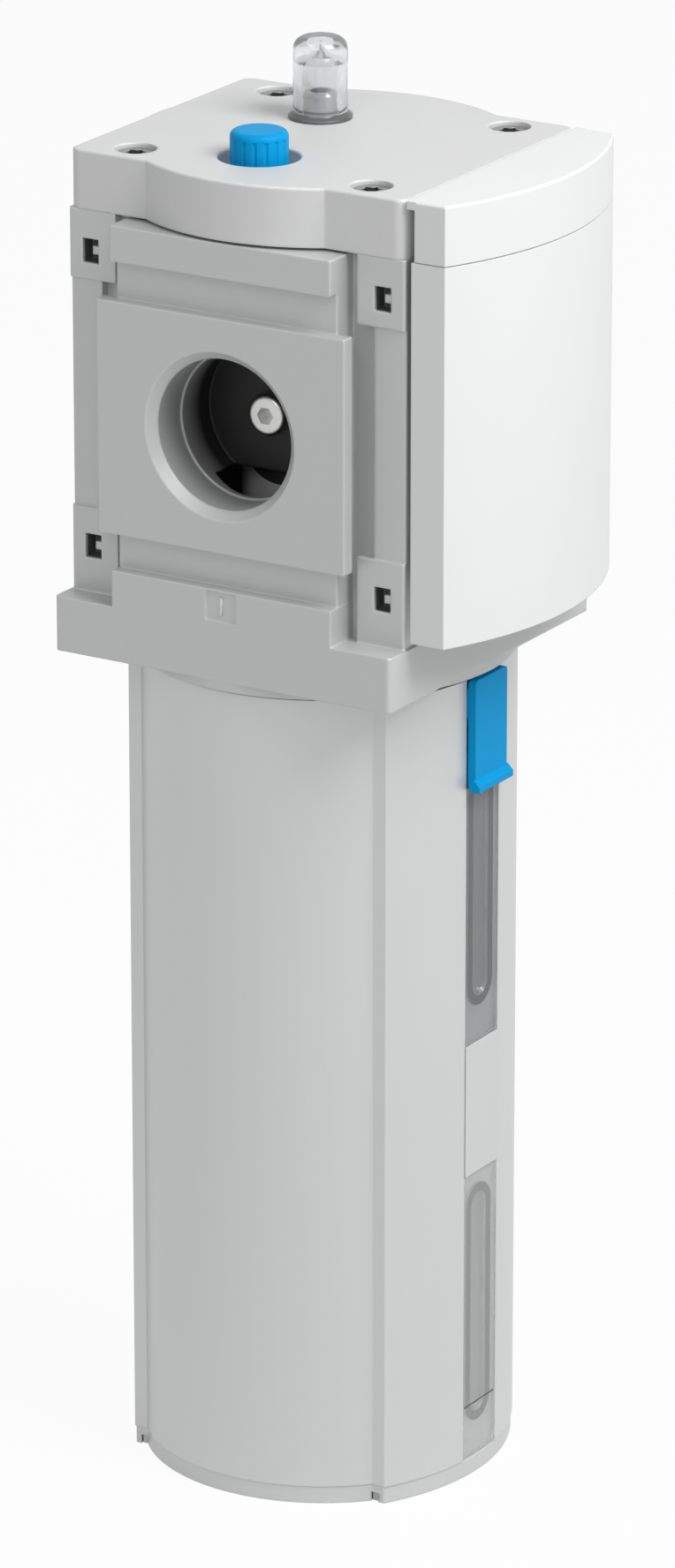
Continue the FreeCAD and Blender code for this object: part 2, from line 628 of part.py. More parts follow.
def top_cover():
    """The plate on the head, with a round bulge, the button's recess and the indicator's hole."""
    cover = Piece("top_cover")
    cover.pad(cover.outline("XY", "block_top").plate("cover_width", "cover_depth"), "cover_thickness")
    cover.soften("Fillet", "cover_corner", is_upright)
    cover.pad(cover.outline("XY", "block_top").circle("cover_bulge"), "cover_thickness")
    front = cover.outline("XY", "block_top")
    front.box("-cover_width / 2", "-cover_depth", "cover_width / 2", "-cover_depth / 2")
    cover.pocket(front, "cover_thickness + 1", Reversed=True)
    cover.pocket(cover.outline("XY", "cover_top").circle("button_recess", "button_x", "button_y"),
                 "button_recess_depth")
    cover.soften("Fillet", "edge_radius / 2", lambda edge: level(edge) == value("cover_top")
                 or level(edge) is not None and abs(level(edge) - value("cover_top")) < 1e-6)
    holes = cover.outline("XY", "cover_top")
    holes.circle("bush_radius + running_gap", "button_x", "button_y")
    holes.circle("insert_radius + 0.1", "indicator_x", "indicator_y")
    cover.pocket(holes, "cover_thickness + 1")
    heads = cover.outline("XY", "cover_top")
    shanks = cover.outline("XY", "cover_top")
    for x, y in CORNERS:
        heads.circle("screw_head + 2 * hole_clearance", f"{x} * screw_x", f"{y} * screw_y")
        shanks.circle("screw_shank + hole_clearance", f"{x} * screw_x", f"{y} * screw_y")
    cover.pocket(heads, "screw_sink + screw_head_height")
    cover.pocket(shanks, "cover_thickness + 1")


def screw(label, head, head_height, shank, length, drive, place):
    """A socket screw whose head stands on the given place; its drive is a six-pointed star."""
    piece = Piece(label)
    piece.revolve(piece.outline("XZ").loop(
        [("0", f"-({length})"), (shank, f"-({length})"), (shank, "0"), (head, "0"),
         (head, f"{head_height} - 0.6"), (f"{head} - 0.6", head_height), ("0", head_height)]))
    star = []
    for point in range(12):
        angle = math.radians(30 * point)
        reach = f"({drive})" if point % 2 == 0 else f"({drive}) * 0.68"
        star.append((f"{reach} * {math.cos(angle):.6f}", f"{reach} * {math.sin(angle):.6f}"))
    piece.pocket(piece.outline("XY", head_height).loop(star), f"({head_height}) * 0.6")
    piece.move(*place)
    return piece.body


def screw_group(label, places, **sizes):
    """Identical screws, one solid each, as one piece of hardware."""
    group = doc.addObject("Part::Compound", label)
    group.Label = label
    group.Links = [screw(f"{label}_{number}", place=place, **sizes)
                   for number, place in enumerate(places, start=1)]


def screws():
    """Cover screws and the corner screws of the base."""
    screw_group("top_cover_screws",
                [(f"{x} * screw_x", f"{y} * screw_y", "head_seat") for x, y in CORNERS],
                head="screw_head", head_height="screw_head_height", shank="screw_shank",
                length="screw_length", drive="screw_head * 0.56")


def base_screws():
    """Four screws up through the base cap into the bowl's corners."""
    group = doc.addObject("Part::Compound", "base_cap_screws")
    group.Label = "base_cap_screws"
    made = []
    for number, (x, y) in enumerate(CORNERS, start=1):
        piece = Piece(f"base_cap_screws_{number}")
        piece.revolve(piece.outline("XZ").loop(
            [("0", "0.4"), ("rib_screw_head", "0.4"), ("rib_screw_head", "3.2"), ("rib_screw", "3.2"),
             ("rib_screw", "3.2 + rib_screw_length"), ("0", "3.2 + rib_screw_length")]))
        hexagon = [(f"1.9 * {math.cos(math.radians(60 * k)):.6f}",
                    f"1.9 * {math.sin(math.radians(60 * k)):.6f}") for k in range(6)]
        piece.pocket(piece.outline("XY", "0.4").loop(hexagon), "1.6", Reversed=True)
        piece.move(f"{x} * rib_screw_x", f"{y} * rib_screw_y")
        made.append(piece.body)
    group.Links = made


def shield_outline(outline, inset, back):
    """The front covers' outline, inset from the outside, open to a back edge."""
    half = f"(shield_width / 2 - {inset})"
    radius = f"shield_arc - {inset}"
    centre = "(shield_arc - shield_front)"
    corner = f"-(sqrt((shield_arc - {inset}) ^ 2 - (shield_width / 2 - {inset}) ^ 2) - {centre})"
    return outline.loop([(f"-{half}", back), (f"-{half}", corner), (half, corner), (half, back)],
                        {1: radius})


def front_cover():
    """The large white cover: a curved shell on four posts against the head."""
    cover = Piece("front_cover")
    cover.pad(shield_outline(cover.outline("XY", "shield_bottom"), "0", "-shield_back"),
              "shield_top - shield_bottom")
    cover.pocket(shield_outline(cover.outline("XY", "shield_bottom"), "shield_wall", "-shield_back + 1"),
                 "shield_top - shield_bottom + 1", Reversed=True)
    for x in SIDES:
        for height in ("shield_bottom + 20", "shield_top - 20"):
            post = cover.outline("XZ", "block_depth / 2")
            post.box(f"{x} * 36 - 4", f"{height} - 4", f"{x} * 36 + 4", f"{height} + 4")
            cover.pad(post, "shield_corner - block_depth / 2 + 3")


def front_cover_cap():
    """The white strip above it, closed on top, level with the top cover."""
    cap = Piece("front_cover_cap")
    back = "-(shield_back + cap_rebate / 2)"
    cap.pad(shield_outline(cap.outline("XY", "block_top"), "0", back), "cover_thickness")
    cap.soften("Fillet", "edge_radius / 2", lambda edge: level(edge) is not None
               and abs(level(edge) - value("cover_top")) < 1e-6
               and edge.BoundBox.YMax < -value("shield_back") - 0.5 * value("cap_rebate") + 1e-3
               and (edge.BoundBox.YLength > 1 or abs(edge.BoundBox.YMax + value("shield_back")) > 5))
    cap.pocket(shield_outline(cap.outline("XY", "block_top"), "shield_wall",
                              "-(shield_back + cap_rebate / 2 + shield_wall)"),
               "cover_thickness - shield_wall", Reversed=True)
    lip = cap.outline("XY", "cover_top - shield_wall")
    lip.box("-shield_width / 2", back + " - 0.5", "shield_width / 2", "-(cover_depth / 2 + seam)")
    cap.pad(lip, "shield_wall")
    for x in SIDES:
        clip = cap.outline("XZ", "cover_depth / 2")
        clip.box(f"{x} * 30 - 5", "block_top + 4", f"{x} * 30 + 5", "block_top + 12")
        cap.pad(clip, "shield_back + cap_rebate / 2 + 1 - cover_depth / 2")


def bowl_profile(piece, low, height, inset, radius):
    """The bowl's outer form: a barrel with flat strips, and a round bulge on each side."""
    half_x = f"(bowl_half_x - {inset})"
    half_y = f"(bowl_half_y - {inset})"
    barrel = piece.outline("XY", low)
    barrel.loop([(f"-{half_x}", f"-{half_y}"), (half_x, f"-{half_y}"),
                 (half_x, half_y), (f"-{half_x}", half_y)], {0: radius, 2: radius})
    piece.pad(barrel, height)
    piece.pad(piece.outline("XY", low).circle(f"bowl_bulge - {inset}"), height)


def corner_holes(piece, plane_height, radius, depth, **settings):
    """Four holes for the base cap's screws."""
    holes = piece.outline("XY", plane_height)
    for x, y in CORNERS:
        holes.circle(radius, f"{x} * rib_screw_x", f"{y} * rib_screw_y")
    piece.pocket(holes, depth, **settings)


def bowl_tube():
    """The extruded bowl, with its front channel, window slots and the lock slide's track."""
    bowl = Piece("bowl_tube")
    bowl_profile(bowl, "base_thickness", "bowl_height - base_thickness", "0", "bowl_arc")
    bowl.pocket(bowl.outline("XY", "base_thickness").circle("bowl_bore"), "bowl_height", Reversed=True)
    track = bowl.outline("XY", "base_thickness")
    track.box("-track_width / 2", "-(bowl_front + 2)", "track_width / 2", "-track_floor")
    bowl.pocket(track, "bowl_height", Reversed=True)
    deep = bowl.outline("XY", "stop_bottom")
    deep.box("-track_width / 2", "-(bowl_front + 2)", "track_width / 2", "-groove_floor")
    bowl.pocket(deep, "bowl_height", Reversed=True)
    lips = bowl.outline("XY", "stop_top")
    lips.box("-groove_width / 2", "-groove_lip", "groove_width / 2", "-groove_floor")
    bowl.pocket(lips, "bowl_height", Reversed=True)
    for low, high in (("lower_slot_bottom", "lower_slot_top"), ("upper_slot_bottom", "upper_slot_top")):
        slot = bowl.outline("XZ", "bowl_bore - 8").stadium("slot_width", low, high)
        bowl.pocket(slot, "20", Reversed=True)
    corner_holes(bowl, "base_thickness", "rib_screw + 0.1", "rib_screw_length + 4", Reversed=True)


def base_cap():
    """The bottom plate: it follows the bowl's outline and plugs its bore."""
    cap = Piece("base_cap")
    bowl_profile(cap, "0", "base_thickness", "base_inset", "base_arc")
    cap.pad(cap.outline("XY", "base_thickness").circle("plug_radius"), "plug_height")
    groove = cap.outline("XY", "base_thickness + 3")
    groove.circle("plug_radius + 1").circle("bowl_bore - 2 * base_seal_wire - 0.3")
    cap.pocket(groove, "2 * base_seal_wire + 0.2", Reversed=True)
    cap.pocket(cap.outline("XY", "0").circle("drain_recess"), "drain_recess_depth", Reversed=True)
    cap.pocket(cap.outline("XY", "0").circle("drain_thread + hole_clearance"), "plug_top + 1",
               Reversed=True)
    corner_holes(cap, "0", "rib_screw_head + hole_clearance", "3.2", Reversed=True)
    corner_holes(cap, "0", "rib_screw + hole_clearance", "base_thickness + 1", Reversed=True)


def bayonet_ring():
    """The ring in the bowl's top, whose four lugs hang on the socket's ledge."""
    ring = Piece("bayonet_ring")
    ring.revolve(ring.outline("XZ").loop(
        [("ring_bore", "bowl_height - ring_depth"), ("plug_radius", "bowl_height - ring_depth"),
         ("plug_radius", "bowl_height"), ("neck_radius", "bowl_height"),
         ("neck_radius", "neck_top"), ("ring_bore", "neck_top")]))
    half = "(lug_angle / 2)"
    turn = "(entry_angle)"
    outer, inner = "(lug_radius)", "(neck_radius - 1)"
    lug = ring.outline("XY", "lug_bottom")
    spots = [(inner, "-"), (outer, "-"), (outer, "+"), (inner, "+")]
    lug.loop([(f"{reach} * cos(({turn} {sign} {half}) * 1deg)",
               f"{reach} * sin(({turn} {sign} {half}) * 1deg)") for reach, sign in spots],
             {1: outer, 3: "-" + inner})
    made = ring.pad(lug, "lug_height")
    ring.around([made], "4")


def sight_window(name, glass_low, glass_high, slot_low, slot_high):
    """A clear plate in the channel with a plug in its slot, and the dark gasket round the plug."""
    glass = Piece("sight_glass_" + name)
    plate = glass.outline("XZ", "track_floor + gasket_height")
    plate.box("-glass_width / 2", glass_low, "glass_width / 2", glass_high)
    glass.pad(plate, "glass_front - track_floor - gasket_height")
    inner = "slot_width - 2 * gasket_wall"
    plug = glass.outline("XZ", "bowl_bore + 0.5")
    plug.stadium(inner, f"({slot_low} + gasket_wall)", f"({slot_high} - gasket_wall)")
    glass.pad(plug, "track_floor + gasket_height - bowl_bore")
    gasket = Piece("sight_gasket_" + name)
    rim = gasket.outline("XZ", "track_floor")
    rim.stadium("slot_width + 2 * gasket_wall", f"({slot_low} - gasket_wall)", f"({slot_high} + gasket_wall)")
    rim.stadium(inner + " + 0.2", f"({slot_low} + gasket_wall - 0.1)", f"({slot_high} - gasket_wall + 0.1)")
    gasket.pad(rim, "gasket_height")


def window_bar():
    """The plain bar between the two windows."""
    bar = Piece("window_bar")
    face = bar.outline("XZ", "track_floor")
    face.box("-glass_width / 2", "lower_glass_top + seam", "glass_width / 2", "upper_glass_bottom - seam")
    bar.pad(face, "bowl_front - track_floor - 0.3")


def lock_slide():
    """The blue slide: plate and finger lip, with a foot that runs behind the track's lips."""
    slide = Piece("latch_slide")
    half = "(track_width / 2 - slide_play)"
    plate = slide.outline("XZ", "slide_back")
    plate.box(f"-{half}", "slide_bottom", half, "bowl_height")
    slide.pad(plate, "slide_front - slide_back")
    slide.soften("Fillet", "edge_radius",
                 lambda edge: edge.BoundBox.YLength > 1 and abs(edge.BoundBox.ZLength) < 1e-6)
    lip = slide.outline("YZ", "-glass_width / 2 - 0.6")
    lip.loop([("-slide_back - 1", "slide_bottom"), ("-slide_front - slide_lip", "slide_bottom"),
              ("-slide_front - slide_lip", "slide_bottom + slide_lip_height / 2"),
              ("-slide_front", "slide_bottom + slide_lip_height"),
              ("-slide_back - 1", "slide_bottom + slide_lip_height")])
    slide.pad(lip, "glass_width + 1.2")
    neck = slide.outline("XZ", "groove_floor + slide_play")
    neck.box(f"-{half}", "foot_bottom", half, "foot_top")
    slide.pad(neck, "slide_back + 0.5 - groove_floor - slide_play")
    foot = slide.outline("XZ", "groove_floor + slide_play")
    foot.box("-(groove_width / 2 - slide_play)", "foot_bottom", "groove_width / 2 - slide_play", "foot_top")
    slide.pad(foot, "groove_lip - groove_floor - 2 * slide_play")


def latch_parts():
    """The stop block in the channel and the slide's spring on it."""
    stop = Piece("latch_stop")
    block = stop.outline("XZ", "groove_floor")
    block.box("-glass_width / 2", "stop_bottom", "glass_width / 2", "stop_top")
    stop.pad(block, "glass_front - groove_floor")
    coil("latch_spring", "1.3", "0.3", "stop_top", "foot_bottom - stop_top", 7,
         ("0", "-(groove_floor + slide_back) / 2"))


def push_button():
    """The blue button with fluted cap and stem, its bush, return spring and retaining ring."""
    place = ("button_x", "button_y", "0")
    button = Piece("reset_button")
    button.revolve(button.outline("XZ").loop(
        [("0", "button_foot - stem_length"), ("stem_radius", "button_foot - stem_length"),
         ("stem_radius", "button_top - 5"), ("button_radius - 2.2", "button_top - 5"),
         ("button_radius - 2.2", "button_foot"), ("button_radius", "button_foot"),
         ("button_radius", "button_top - 2"), ("button_radius - 2", "button_top"), ("0", "button_top")],
        {6: "2"}))
    flute = button.outline("XY", "button_foot - 0.5")
    flute.circle("0.9", "button_radius + 0.55", "0")
    cut = button.pocket(flute, "button_top - button_foot - 1.8", Reversed=True)
    button.around([cut], "button_flutes")
    button.move(*place)
    tube("button_bush", "bush_radius", "stem_radius + running_gap", "bush_foot", "recess_floor", place)
    tube("button_clip", "stem_radius + 2.4", "stem_radius", "bush_foot - seam - clip_height",
         "bush_foot - seam", place)
    coil("button_spring", "(stem_radius + button_radius - 2.2) / 2", "0.45", "recess_floor",
         "button_top - 5 - recess_floor", 4.5, ("button_x", "button_y"))


def indicator():
    """Threaded insert, clear dome with its seal, red pin with spring and retaining ring."""
    place = ("indicator_x", "indicator_y", "0")
    bore = "pin_radius + 0.2"
    turned("indicator_base", [
        (bore, "insert_shelf"), ("pin_flange + 0.4", "insert_shelf"), ("pin_flange + 0.4", "insert_foot"),
        ("insert_radius", "insert_foot"), ("insert_radius", "cover_top"),
        ("dome_bore - 0.3", "cover_top"), ("dome_bore - 0.3", "cover_top + insert_neck - 1"),
        ("dome_bore - 1.3", "cover_top + insert_neck"), (bore, "cover_top + insert_neck")], place=place)
    hollow_top = "cover_top + dome_height - dome_crown"
    turned("indicator_dome", [
        ("dome_bore", "cover_top"), ("dome_foot", "cover_top"),
        ("dome_foot", "cover_top + dome_foot_height / 2"), ("dome_radius", "cover_top + dome_foot_height"),
        ("dome_radius", "cover_top + dome_height - 4"), ("dome_radius - 4", "cover_top + dome_height"),
        ("0", "cover_top + dome_height"), ("0", hollow_top), ("dome_bore - 1.5", f"{hollow_top} - 1.5"),
        ("dome_bore", f"{hollow_top} - 4")], {4: "4"}, place)
    tube("indicator_clip", "pin_flange + 0.35", "pin_radius + 0.5", "insert_foot + 0.2",
         "insert_foot + 0.2 + clip_height", place)
    turned("indicator_pin", [
        ("0", "pin_foot"), ("pin_flange", "pin_foot"), ("pin_flange", "pin_foot + 2"),
        ("pin_radius", "pin_foot + 2"), ("pin_radius", "pin_foot + pin_length - 1"),
        ("pin_radius - 1", "pin_foot + pin_length"), ("0", "pin_foot + pin_length")], place=place)
    coil("indicator_spring", "pin_radius + 1.2", "0.35", "pin_foot + 2",
         "insert_shelf - pin_foot - 2", 6, ("indicator_x", "indicator_y"))


def filter_element():
    """Stud, sleeve, support tube, end caps, flat seal, baffle and nut below the outlet duct."""
    stud = Piece("element_stud")
    stud.pad(stud.outline("XY", "nut_bottom - 4").circle("stud_radius"),
             "duct_top + stud_grip - nut_bottom + 4")
    tube("element_seal", "duct_radius - 0.5", "duct_bore + 0.5", "element_top", "duct_bottom")
    tube("element_top_cap", "element_radius", "duct_bore - 3", "media_top", "element_top")
    tube("element_bottom_cap", "element_radius", "stud_radius + 0.2", "element_bottom", "media_bottom")
    media = Piece("filter_media")
    pleats = media.outline("XY", "media_bottom")
    pleats.circle("media_radius").circle("media_bore")
    media.pad(pleats, "element_length")
    core = Piece("element_core")
    wall = core.outline("XY", "media_bottom")
    wall.circle("media_bore - 0.2").circle("media_bore - 0.2 - core_wall")
    core.pad(wall, "element_length")
    rows = core.outline("XZ", "0")
    count = int(value("core_rows"))
    for row in range(count):
        rows.circle("core_hole", "0", f"media_bottom + element_length * {row + 0.5} / core_rows")
    holes = core.pocket(rows, "media_bore + 1", Reversed=True)
    core.around([holes], "8")
    tube("baffle_disc", "baffle_radius", "stud_radius + 0.2", "baffle_bottom", "element_bottom")
    nut = Piece("element_nut")
    face = nut.outline("XY", "nut_bottom")
    face.loop(hexagon_points("nut_radius")).circle("stud_radius + 0.05")
    nut.pad(face, "nut_height")


def hexagon_points(radius):
    """Six corners at a radius given as an expression."""
    return [(f"{radius} * {math.cos(math.radians(60 * k)):.6f}",
             f"{radius} * {math.sin(math.radians(60 * k)):.6f}") for k in range(6)]


def flow_deflector():
    """Two rings joined by slanted vanes in the ring passage."""
    low = "socket_top + deflector_lift"
    deflector = Piece("flow_deflector")
    rings = deflector.outline("XY", low)
    rings.circle("chamber_radius - 0.2").circle("chamber_radius - 2.2")
    deflector.pad(rings, "deflector_height")
    hub = deflector.outline("XY", low)
    hub.circle("duct_radius + 2.2").circle("duct_radius + 0.2")
    deflector.pad(hub, "deflector_height")
    vane = deflector.outline("YZ", "duct_radius + 1.2")
    vane.loop([("-6", low), ("-3.5", low), ("5", f"{low} + deflector_height"),
               ("2.5", f"{low} + deflector_height")])
    made = deflector.pad(vane, "chamber_radius - duct_radius - 2.6")
    deflector.around([made], "deflector_vanes")


def passage_plug():
    """The round plug screw in the inlet bore's end wall."""
    plug = Piece("passage_plug")
    plug.pad(plug.outline("YZ", "-inlet_floor - plug_head_height").circle("plug_head", "0", "port_z"),
             "plug_head_height")
    plug.soften("Fillet", "1.8", lambda edge: isinstance(edge.Curve, Part.Circle)
                and edge.CenterOfMass.x < -value("inlet_floor") - 1)
    plug.pad(plug.outline("YZ", "-inlet_floor").circle("plug_shank", "0", "port_z"),
             "inlet_floor - duct_bore - 3")
    socket = plug.outline("YZ", "-inlet_floor - plug_head_height")
    socket.loop([(x, f"port_z + {y}") for x, y in hexagon_points("plug_socket")])
    plug.pocket(socket, "plug_head_height * 0.7", Reversed=True)


def drain():
    """Drain body through the base, with its seal, nut and turning knob."""
    seat = "plug_top + 2 * drain_seal_wire"
    turned("drain_body", [
        ("drain_bore", "0"), ("drain_spout", "0"), ("drain_spout", "knob_top + seam"),
        ("drain_thread", "knob_top + seam"), ("drain_thread", seat), ("drain_flange", seat),
        ("drain_flange", f"{seat} + 3"), ("drain_spout + 2", f"{seat} + 5"), ("drain_bore", f"{seat} + 5")])
    ring_seal("drain_seal", "drain_thread + 2 * drain_seal_wire", "drain_seal_wire",
              "plug_top + drain_seal_wire")
    nut = Piece("drain_nut")
    face = nut.outline("XY", "drain_ceiling - drain_nut_height")
    face.loop(hexagon_points("drain_nut_radius")).circle("drain_thread + 0.05")
    nut.pad(face, "drain_nut_height")
    knob = Piece("drain_knob")
    ring = knob.outline("XY", "knob_bottom")
    ring.circle("knob_radius").circle("drain_spout + running_gap")
    knob.pad(ring, "knob_height")
    flute = knob.outline("XY", "knob_bottom").circle("2", "knob_radius + 1", "0")
    cut = knob.pocket(flute, "knob_height + 1", Reversed=True)
    knob.around([cut], "knob_flutes")


def seals():
    """The ring seals of top cover, bowl and base."""
    ring_seal("top_cover_seal", "seal_ring", "seal_wire", "block_top - seal_wire - 0.05")
    ring_seal("bowl_seal", "(ring_bore + neck_radius) / 2", "bowl_seal_wire", "neck_top + bowl_seal_wire")
    ring_seal("base_cap_seal", "bowl_bore - base_seal_wire - 0.05", "base_seal_wire",
              "base_thickness + 3.1 + base_seal_wire")


def build():
    fill_sheet()
    head_housing()
    top_cover()
    screws()
    base_screws()
    front_cover()
    front_cover_cap()
    bowl_tube()
    base_cap()
    bayonet_ring()
    sight_window("lower", "base_thickness + 0.2", "lower_glass_top", "lower_slot_bottom", "lower_slot_top")
    sight_window("upper", "upper_glass_bottom", "upper_glass_top", "upper_slot_bottom", "upper_slot_top")
    window_bar()
    lock_slide()
    latch_parts()
    push_button()
    indicator()
    filter_element()
    flow_deflector()
    passage_plug()
    drain()
    seals()
    doc.recompute()


def pieces():
    """The document's own sub-parts: what no other object uses."""
    kinds = ("PartDesign::Body", "Part::Torus", "Part::Sweep", "Part::Compound")
    used = {link for item in doc.Objects if item.TypeId == "Part::Compound" for link in item.Links}
    return [item for item in doc.Objects if item.TypeId in kinds and item not in used]


def check_and_write():
    """Refuse a failed feature or a bad solid, then write one file for each sub-part."""
    for item in doc.Objects:
        if "Invalid" in item.State or "Error" in item.State:
            raise RuntimeError(f"{item.Label}: {item.State}")
    for item in pieces():
        if item.Shape.isNull() or not item.Shape.isValid() or not item.Shape.Solids:
            raise RuntimeError(item.Label + ": no valid solid")
    os.makedirs("parts", exist_ok=True)
    for item in pieces():
        item.Shape.exportStep(f"parts/{item.Label}.step")
        print(f"{item.Label:22s} solids {len(item.Shape.Solids)}  volume {item.Shape.Volume:.0f}")


build()
check_and_write()
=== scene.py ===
"""Compressed air filter: finishes, printed and moulded details, floor, light and camera.

Laid out as an add-on and run as a script. Metres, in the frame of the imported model:
+Z up along the bowl, -X out of the inlet port, -Y towards the covers and the sight windows.
"""
import bmesh
import bpy
import json
import math

from mathutils import Matrix, Vector


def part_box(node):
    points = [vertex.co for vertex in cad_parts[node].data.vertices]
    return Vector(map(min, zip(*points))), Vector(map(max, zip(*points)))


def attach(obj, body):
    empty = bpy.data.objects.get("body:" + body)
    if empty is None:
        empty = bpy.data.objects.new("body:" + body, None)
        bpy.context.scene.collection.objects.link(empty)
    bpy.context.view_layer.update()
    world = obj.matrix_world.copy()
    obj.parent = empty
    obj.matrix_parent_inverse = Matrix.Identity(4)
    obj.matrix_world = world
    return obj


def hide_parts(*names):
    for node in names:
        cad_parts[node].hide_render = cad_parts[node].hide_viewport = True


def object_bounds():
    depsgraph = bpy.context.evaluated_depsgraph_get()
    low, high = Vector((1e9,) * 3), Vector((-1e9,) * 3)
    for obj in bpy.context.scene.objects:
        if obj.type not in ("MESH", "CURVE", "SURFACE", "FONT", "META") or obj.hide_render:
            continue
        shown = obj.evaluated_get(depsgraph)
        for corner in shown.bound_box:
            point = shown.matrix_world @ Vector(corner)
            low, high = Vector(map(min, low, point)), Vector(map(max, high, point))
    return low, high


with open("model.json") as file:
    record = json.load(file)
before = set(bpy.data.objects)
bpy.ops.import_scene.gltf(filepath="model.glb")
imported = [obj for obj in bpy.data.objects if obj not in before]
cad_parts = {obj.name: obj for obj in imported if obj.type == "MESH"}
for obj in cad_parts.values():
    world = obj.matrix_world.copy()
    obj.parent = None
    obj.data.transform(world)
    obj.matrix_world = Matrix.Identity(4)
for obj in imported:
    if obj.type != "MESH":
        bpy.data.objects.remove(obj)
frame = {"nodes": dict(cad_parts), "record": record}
CAD_LOW, CAD_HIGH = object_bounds()

bl_info = {
    "name": "Compressed Air Filter",
    "version": (1, 0, 0),
    "blender": (4, 5, 0),
    "location": "3D View > Sidebar > Air Filter",
    "description": "Finishes, small details, floor, light and camera of a compressed air filter",
    "category": "Object",
}

MM = 0.001

# Where the head's details sit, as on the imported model.
NUMBER_RECESS = 0.7 * MM
NUMBER_CENTRE = 303.6 * MM
PORT_MOUTH = 2.5 * MM
PASSAGE_RADIUS = 25 * MM
# Depth into a passage over which its painted shade darkens.
PASSAGE_SHADE_FADE = 24 * MM
POCKET_WIDTH = 6.0 * MM
POCKET_CENTRE = 53.4 * MM
POCKET_NEAR, POCKET_FAR = 50.2 * MM, 57 * MM
POCKET_FACE = 11 * MM
POCKET_FLOOR = 46.4 * MM
POCKET_DROP = 13.3 * MM
POCKET_RISE = 15.3 * MM
COVER_LIFT = 2.6 * MM
TONGUE_DEPTH = 4.6 * MM
TONGUE_HEIGHT = 2.6 * MM

# Small gaps that keep drawn pieces clear of the pieces they sit on.
SLEEVE_GAP = 0.3 * MM
MARK_PROUD = 0.06 * MM


# ---------------------------------------------------------------- sizes and colours

class FinishSettings(bpy.types.PropertyGroup):
    """Colours and surface of the filter's finishes."""
    head_metal: bpy.props.FloatVectorProperty(
        name="Head", description="Blasted aluminium of the head", subtype="COLOR",
        size=3, min=0.0, max=1.0, default=(0.620, 0.630, 0.627))
    bowl_metal: bpy.props.FloatVectorProperty(
        name="Bowl", description="Anodised aluminium of the bowl", subtype="COLOR",
        size=3, min=0.0, max=1.0, default=(0.662, 0.672, 0.668))
    top_metal: bpy.props.FloatVectorProperty(
        name="Top cover", description="Painted aluminium of the top cover", subtype="COLOR",
        size=3, min=0.0, max=1.0, default=(0.730, 0.737, 0.733))
    cover_white: bpy.props.FloatVectorProperty(
        name="Front covers", description="White plastic of the front covers", subtype="COLOR",
        size=3, min=0.0, max=1.0, default=(0.83, 0.84, 0.84))
    action_blue: bpy.props.FloatVectorProperty(
        name="Button and lock", description="Blue plastic of what the hand moves", subtype="COLOR",
        size=3, min=0.0, max=1.0, default=(0.000, 0.330, 0.700))
    # Paler edges: partly wear, partly painted highlight where the edges catch the light.
    edge_wear_and_highlight: bpy.props.FloatProperty(
        name="Edge wear", description="How much paler the metal's edges are",
        default=0.55, min=0.0, max=1.0, subtype="FACTOR")
    edge_round: bpy.props.FloatProperty(
        name="Edge rounding", description="Rounding that the light sees on the metal's edges",
        default=1.1 * MM, min=0.0, unit="LENGTH")
    grain_size: bpy.props.FloatProperty(
        name="Blasting grain", description="Grain of the blasted metal",
        default=0.45 * MM, min=0.05 * MM, unit="LENGTH")


class DetailSettings(bpy.types.PropertyGroup):
    """Sizes of the small details."""
    number_height: bpy.props.FloatProperty(
        name="Port number", description="Height of the raised port numbers",
        default=6.2 * MM, unit="LENGTH")
    number_rise: bpy.props.FloatProperty(
        name="Number rise", description="Port numbers above the floor of their recess",
        default=0.5 * MM, unit="LENGTH")
    mark_height: bpy.props.FloatProperty(
        name="Level mark", description="Height of the condensate mark on the lower window",
        default=24.5 * MM, unit="LENGTH")
    mark_line: bpy.props.FloatProperty(
        name="Mark line", description="Thickness of the condensate mark",
        default=0.5 * MM, unit="LENGTH")
    pleats: bpy.props.IntProperty(
        name="Pleats", description="Pleats round the filter sleeve", default=64, min=8)
    pleat_paper: bpy.props.FloatProperty(
        name="Pleat thickness", description="Thickness of the folded filter paper",
        default=0.7 * MM, unit="LENGTH")


class StageSettings(bpy.types.PropertyGroup):
    """Floor, light and camera."""
    azimuth: bpy.props.FloatProperty(
        name="Azimuth", description="Camera's bearing from the filter's front",
        default=math.radians(-58.58), subtype="ANGLE")
    elevation: bpy.props.FloatProperty(
        name="Elevation", description="Camera's height over the horizon",
        default=math.radians(19.19), subtype="ANGLE")
    distance: bpy.props.FloatProperty(
        name="Distance", description="Camera from the point it looks at",
        default=2.7367, unit="LENGTH")
    aim_side: bpy.props.FloatProperty(
        name="Aim to the side", description="Point looked at, to the side of the axis",
        default=4.4 * MM, unit="LENGTH")
    aim_rise: bpy.props.FloatProperty(
        name="Aim upwards", description="Point looked at, up the picture from the base",
        default=214.0 * MM, unit="LENGTH")
    lens: bpy.props.FloatProperty(
        name="Lens", description="Focal length for a 36 mm sensor, in millimetres", default=189.6)
    key_power: bpy.props.FloatProperty(
        name="Key light", description="Large soft light in front", default=23.0, unit="POWER")
    side_power: bpy.props.FloatProperty(
        name="Side light", description="Soft light from the inlet's side", default=4.0, unit="POWER")
    sky: bpy.props.FloatProperty(
        name="Sky", description="Even light from all round", default=0.36, min=0.0)
    floor_glow: bpy.props.FloatProperty(
        name="Floor glow", description="Share of plain white in what the camera sees of the floor",
        default=0.95, min=0.0, max=1.0, subtype="FACTOR")


SETTINGS = {
    "filter_finish": FinishSettings,
    "filter_detail": DetailSettings,
    "filter_stage": StageSettings,
}


# ---------------------------------------------------------------- shader expressions

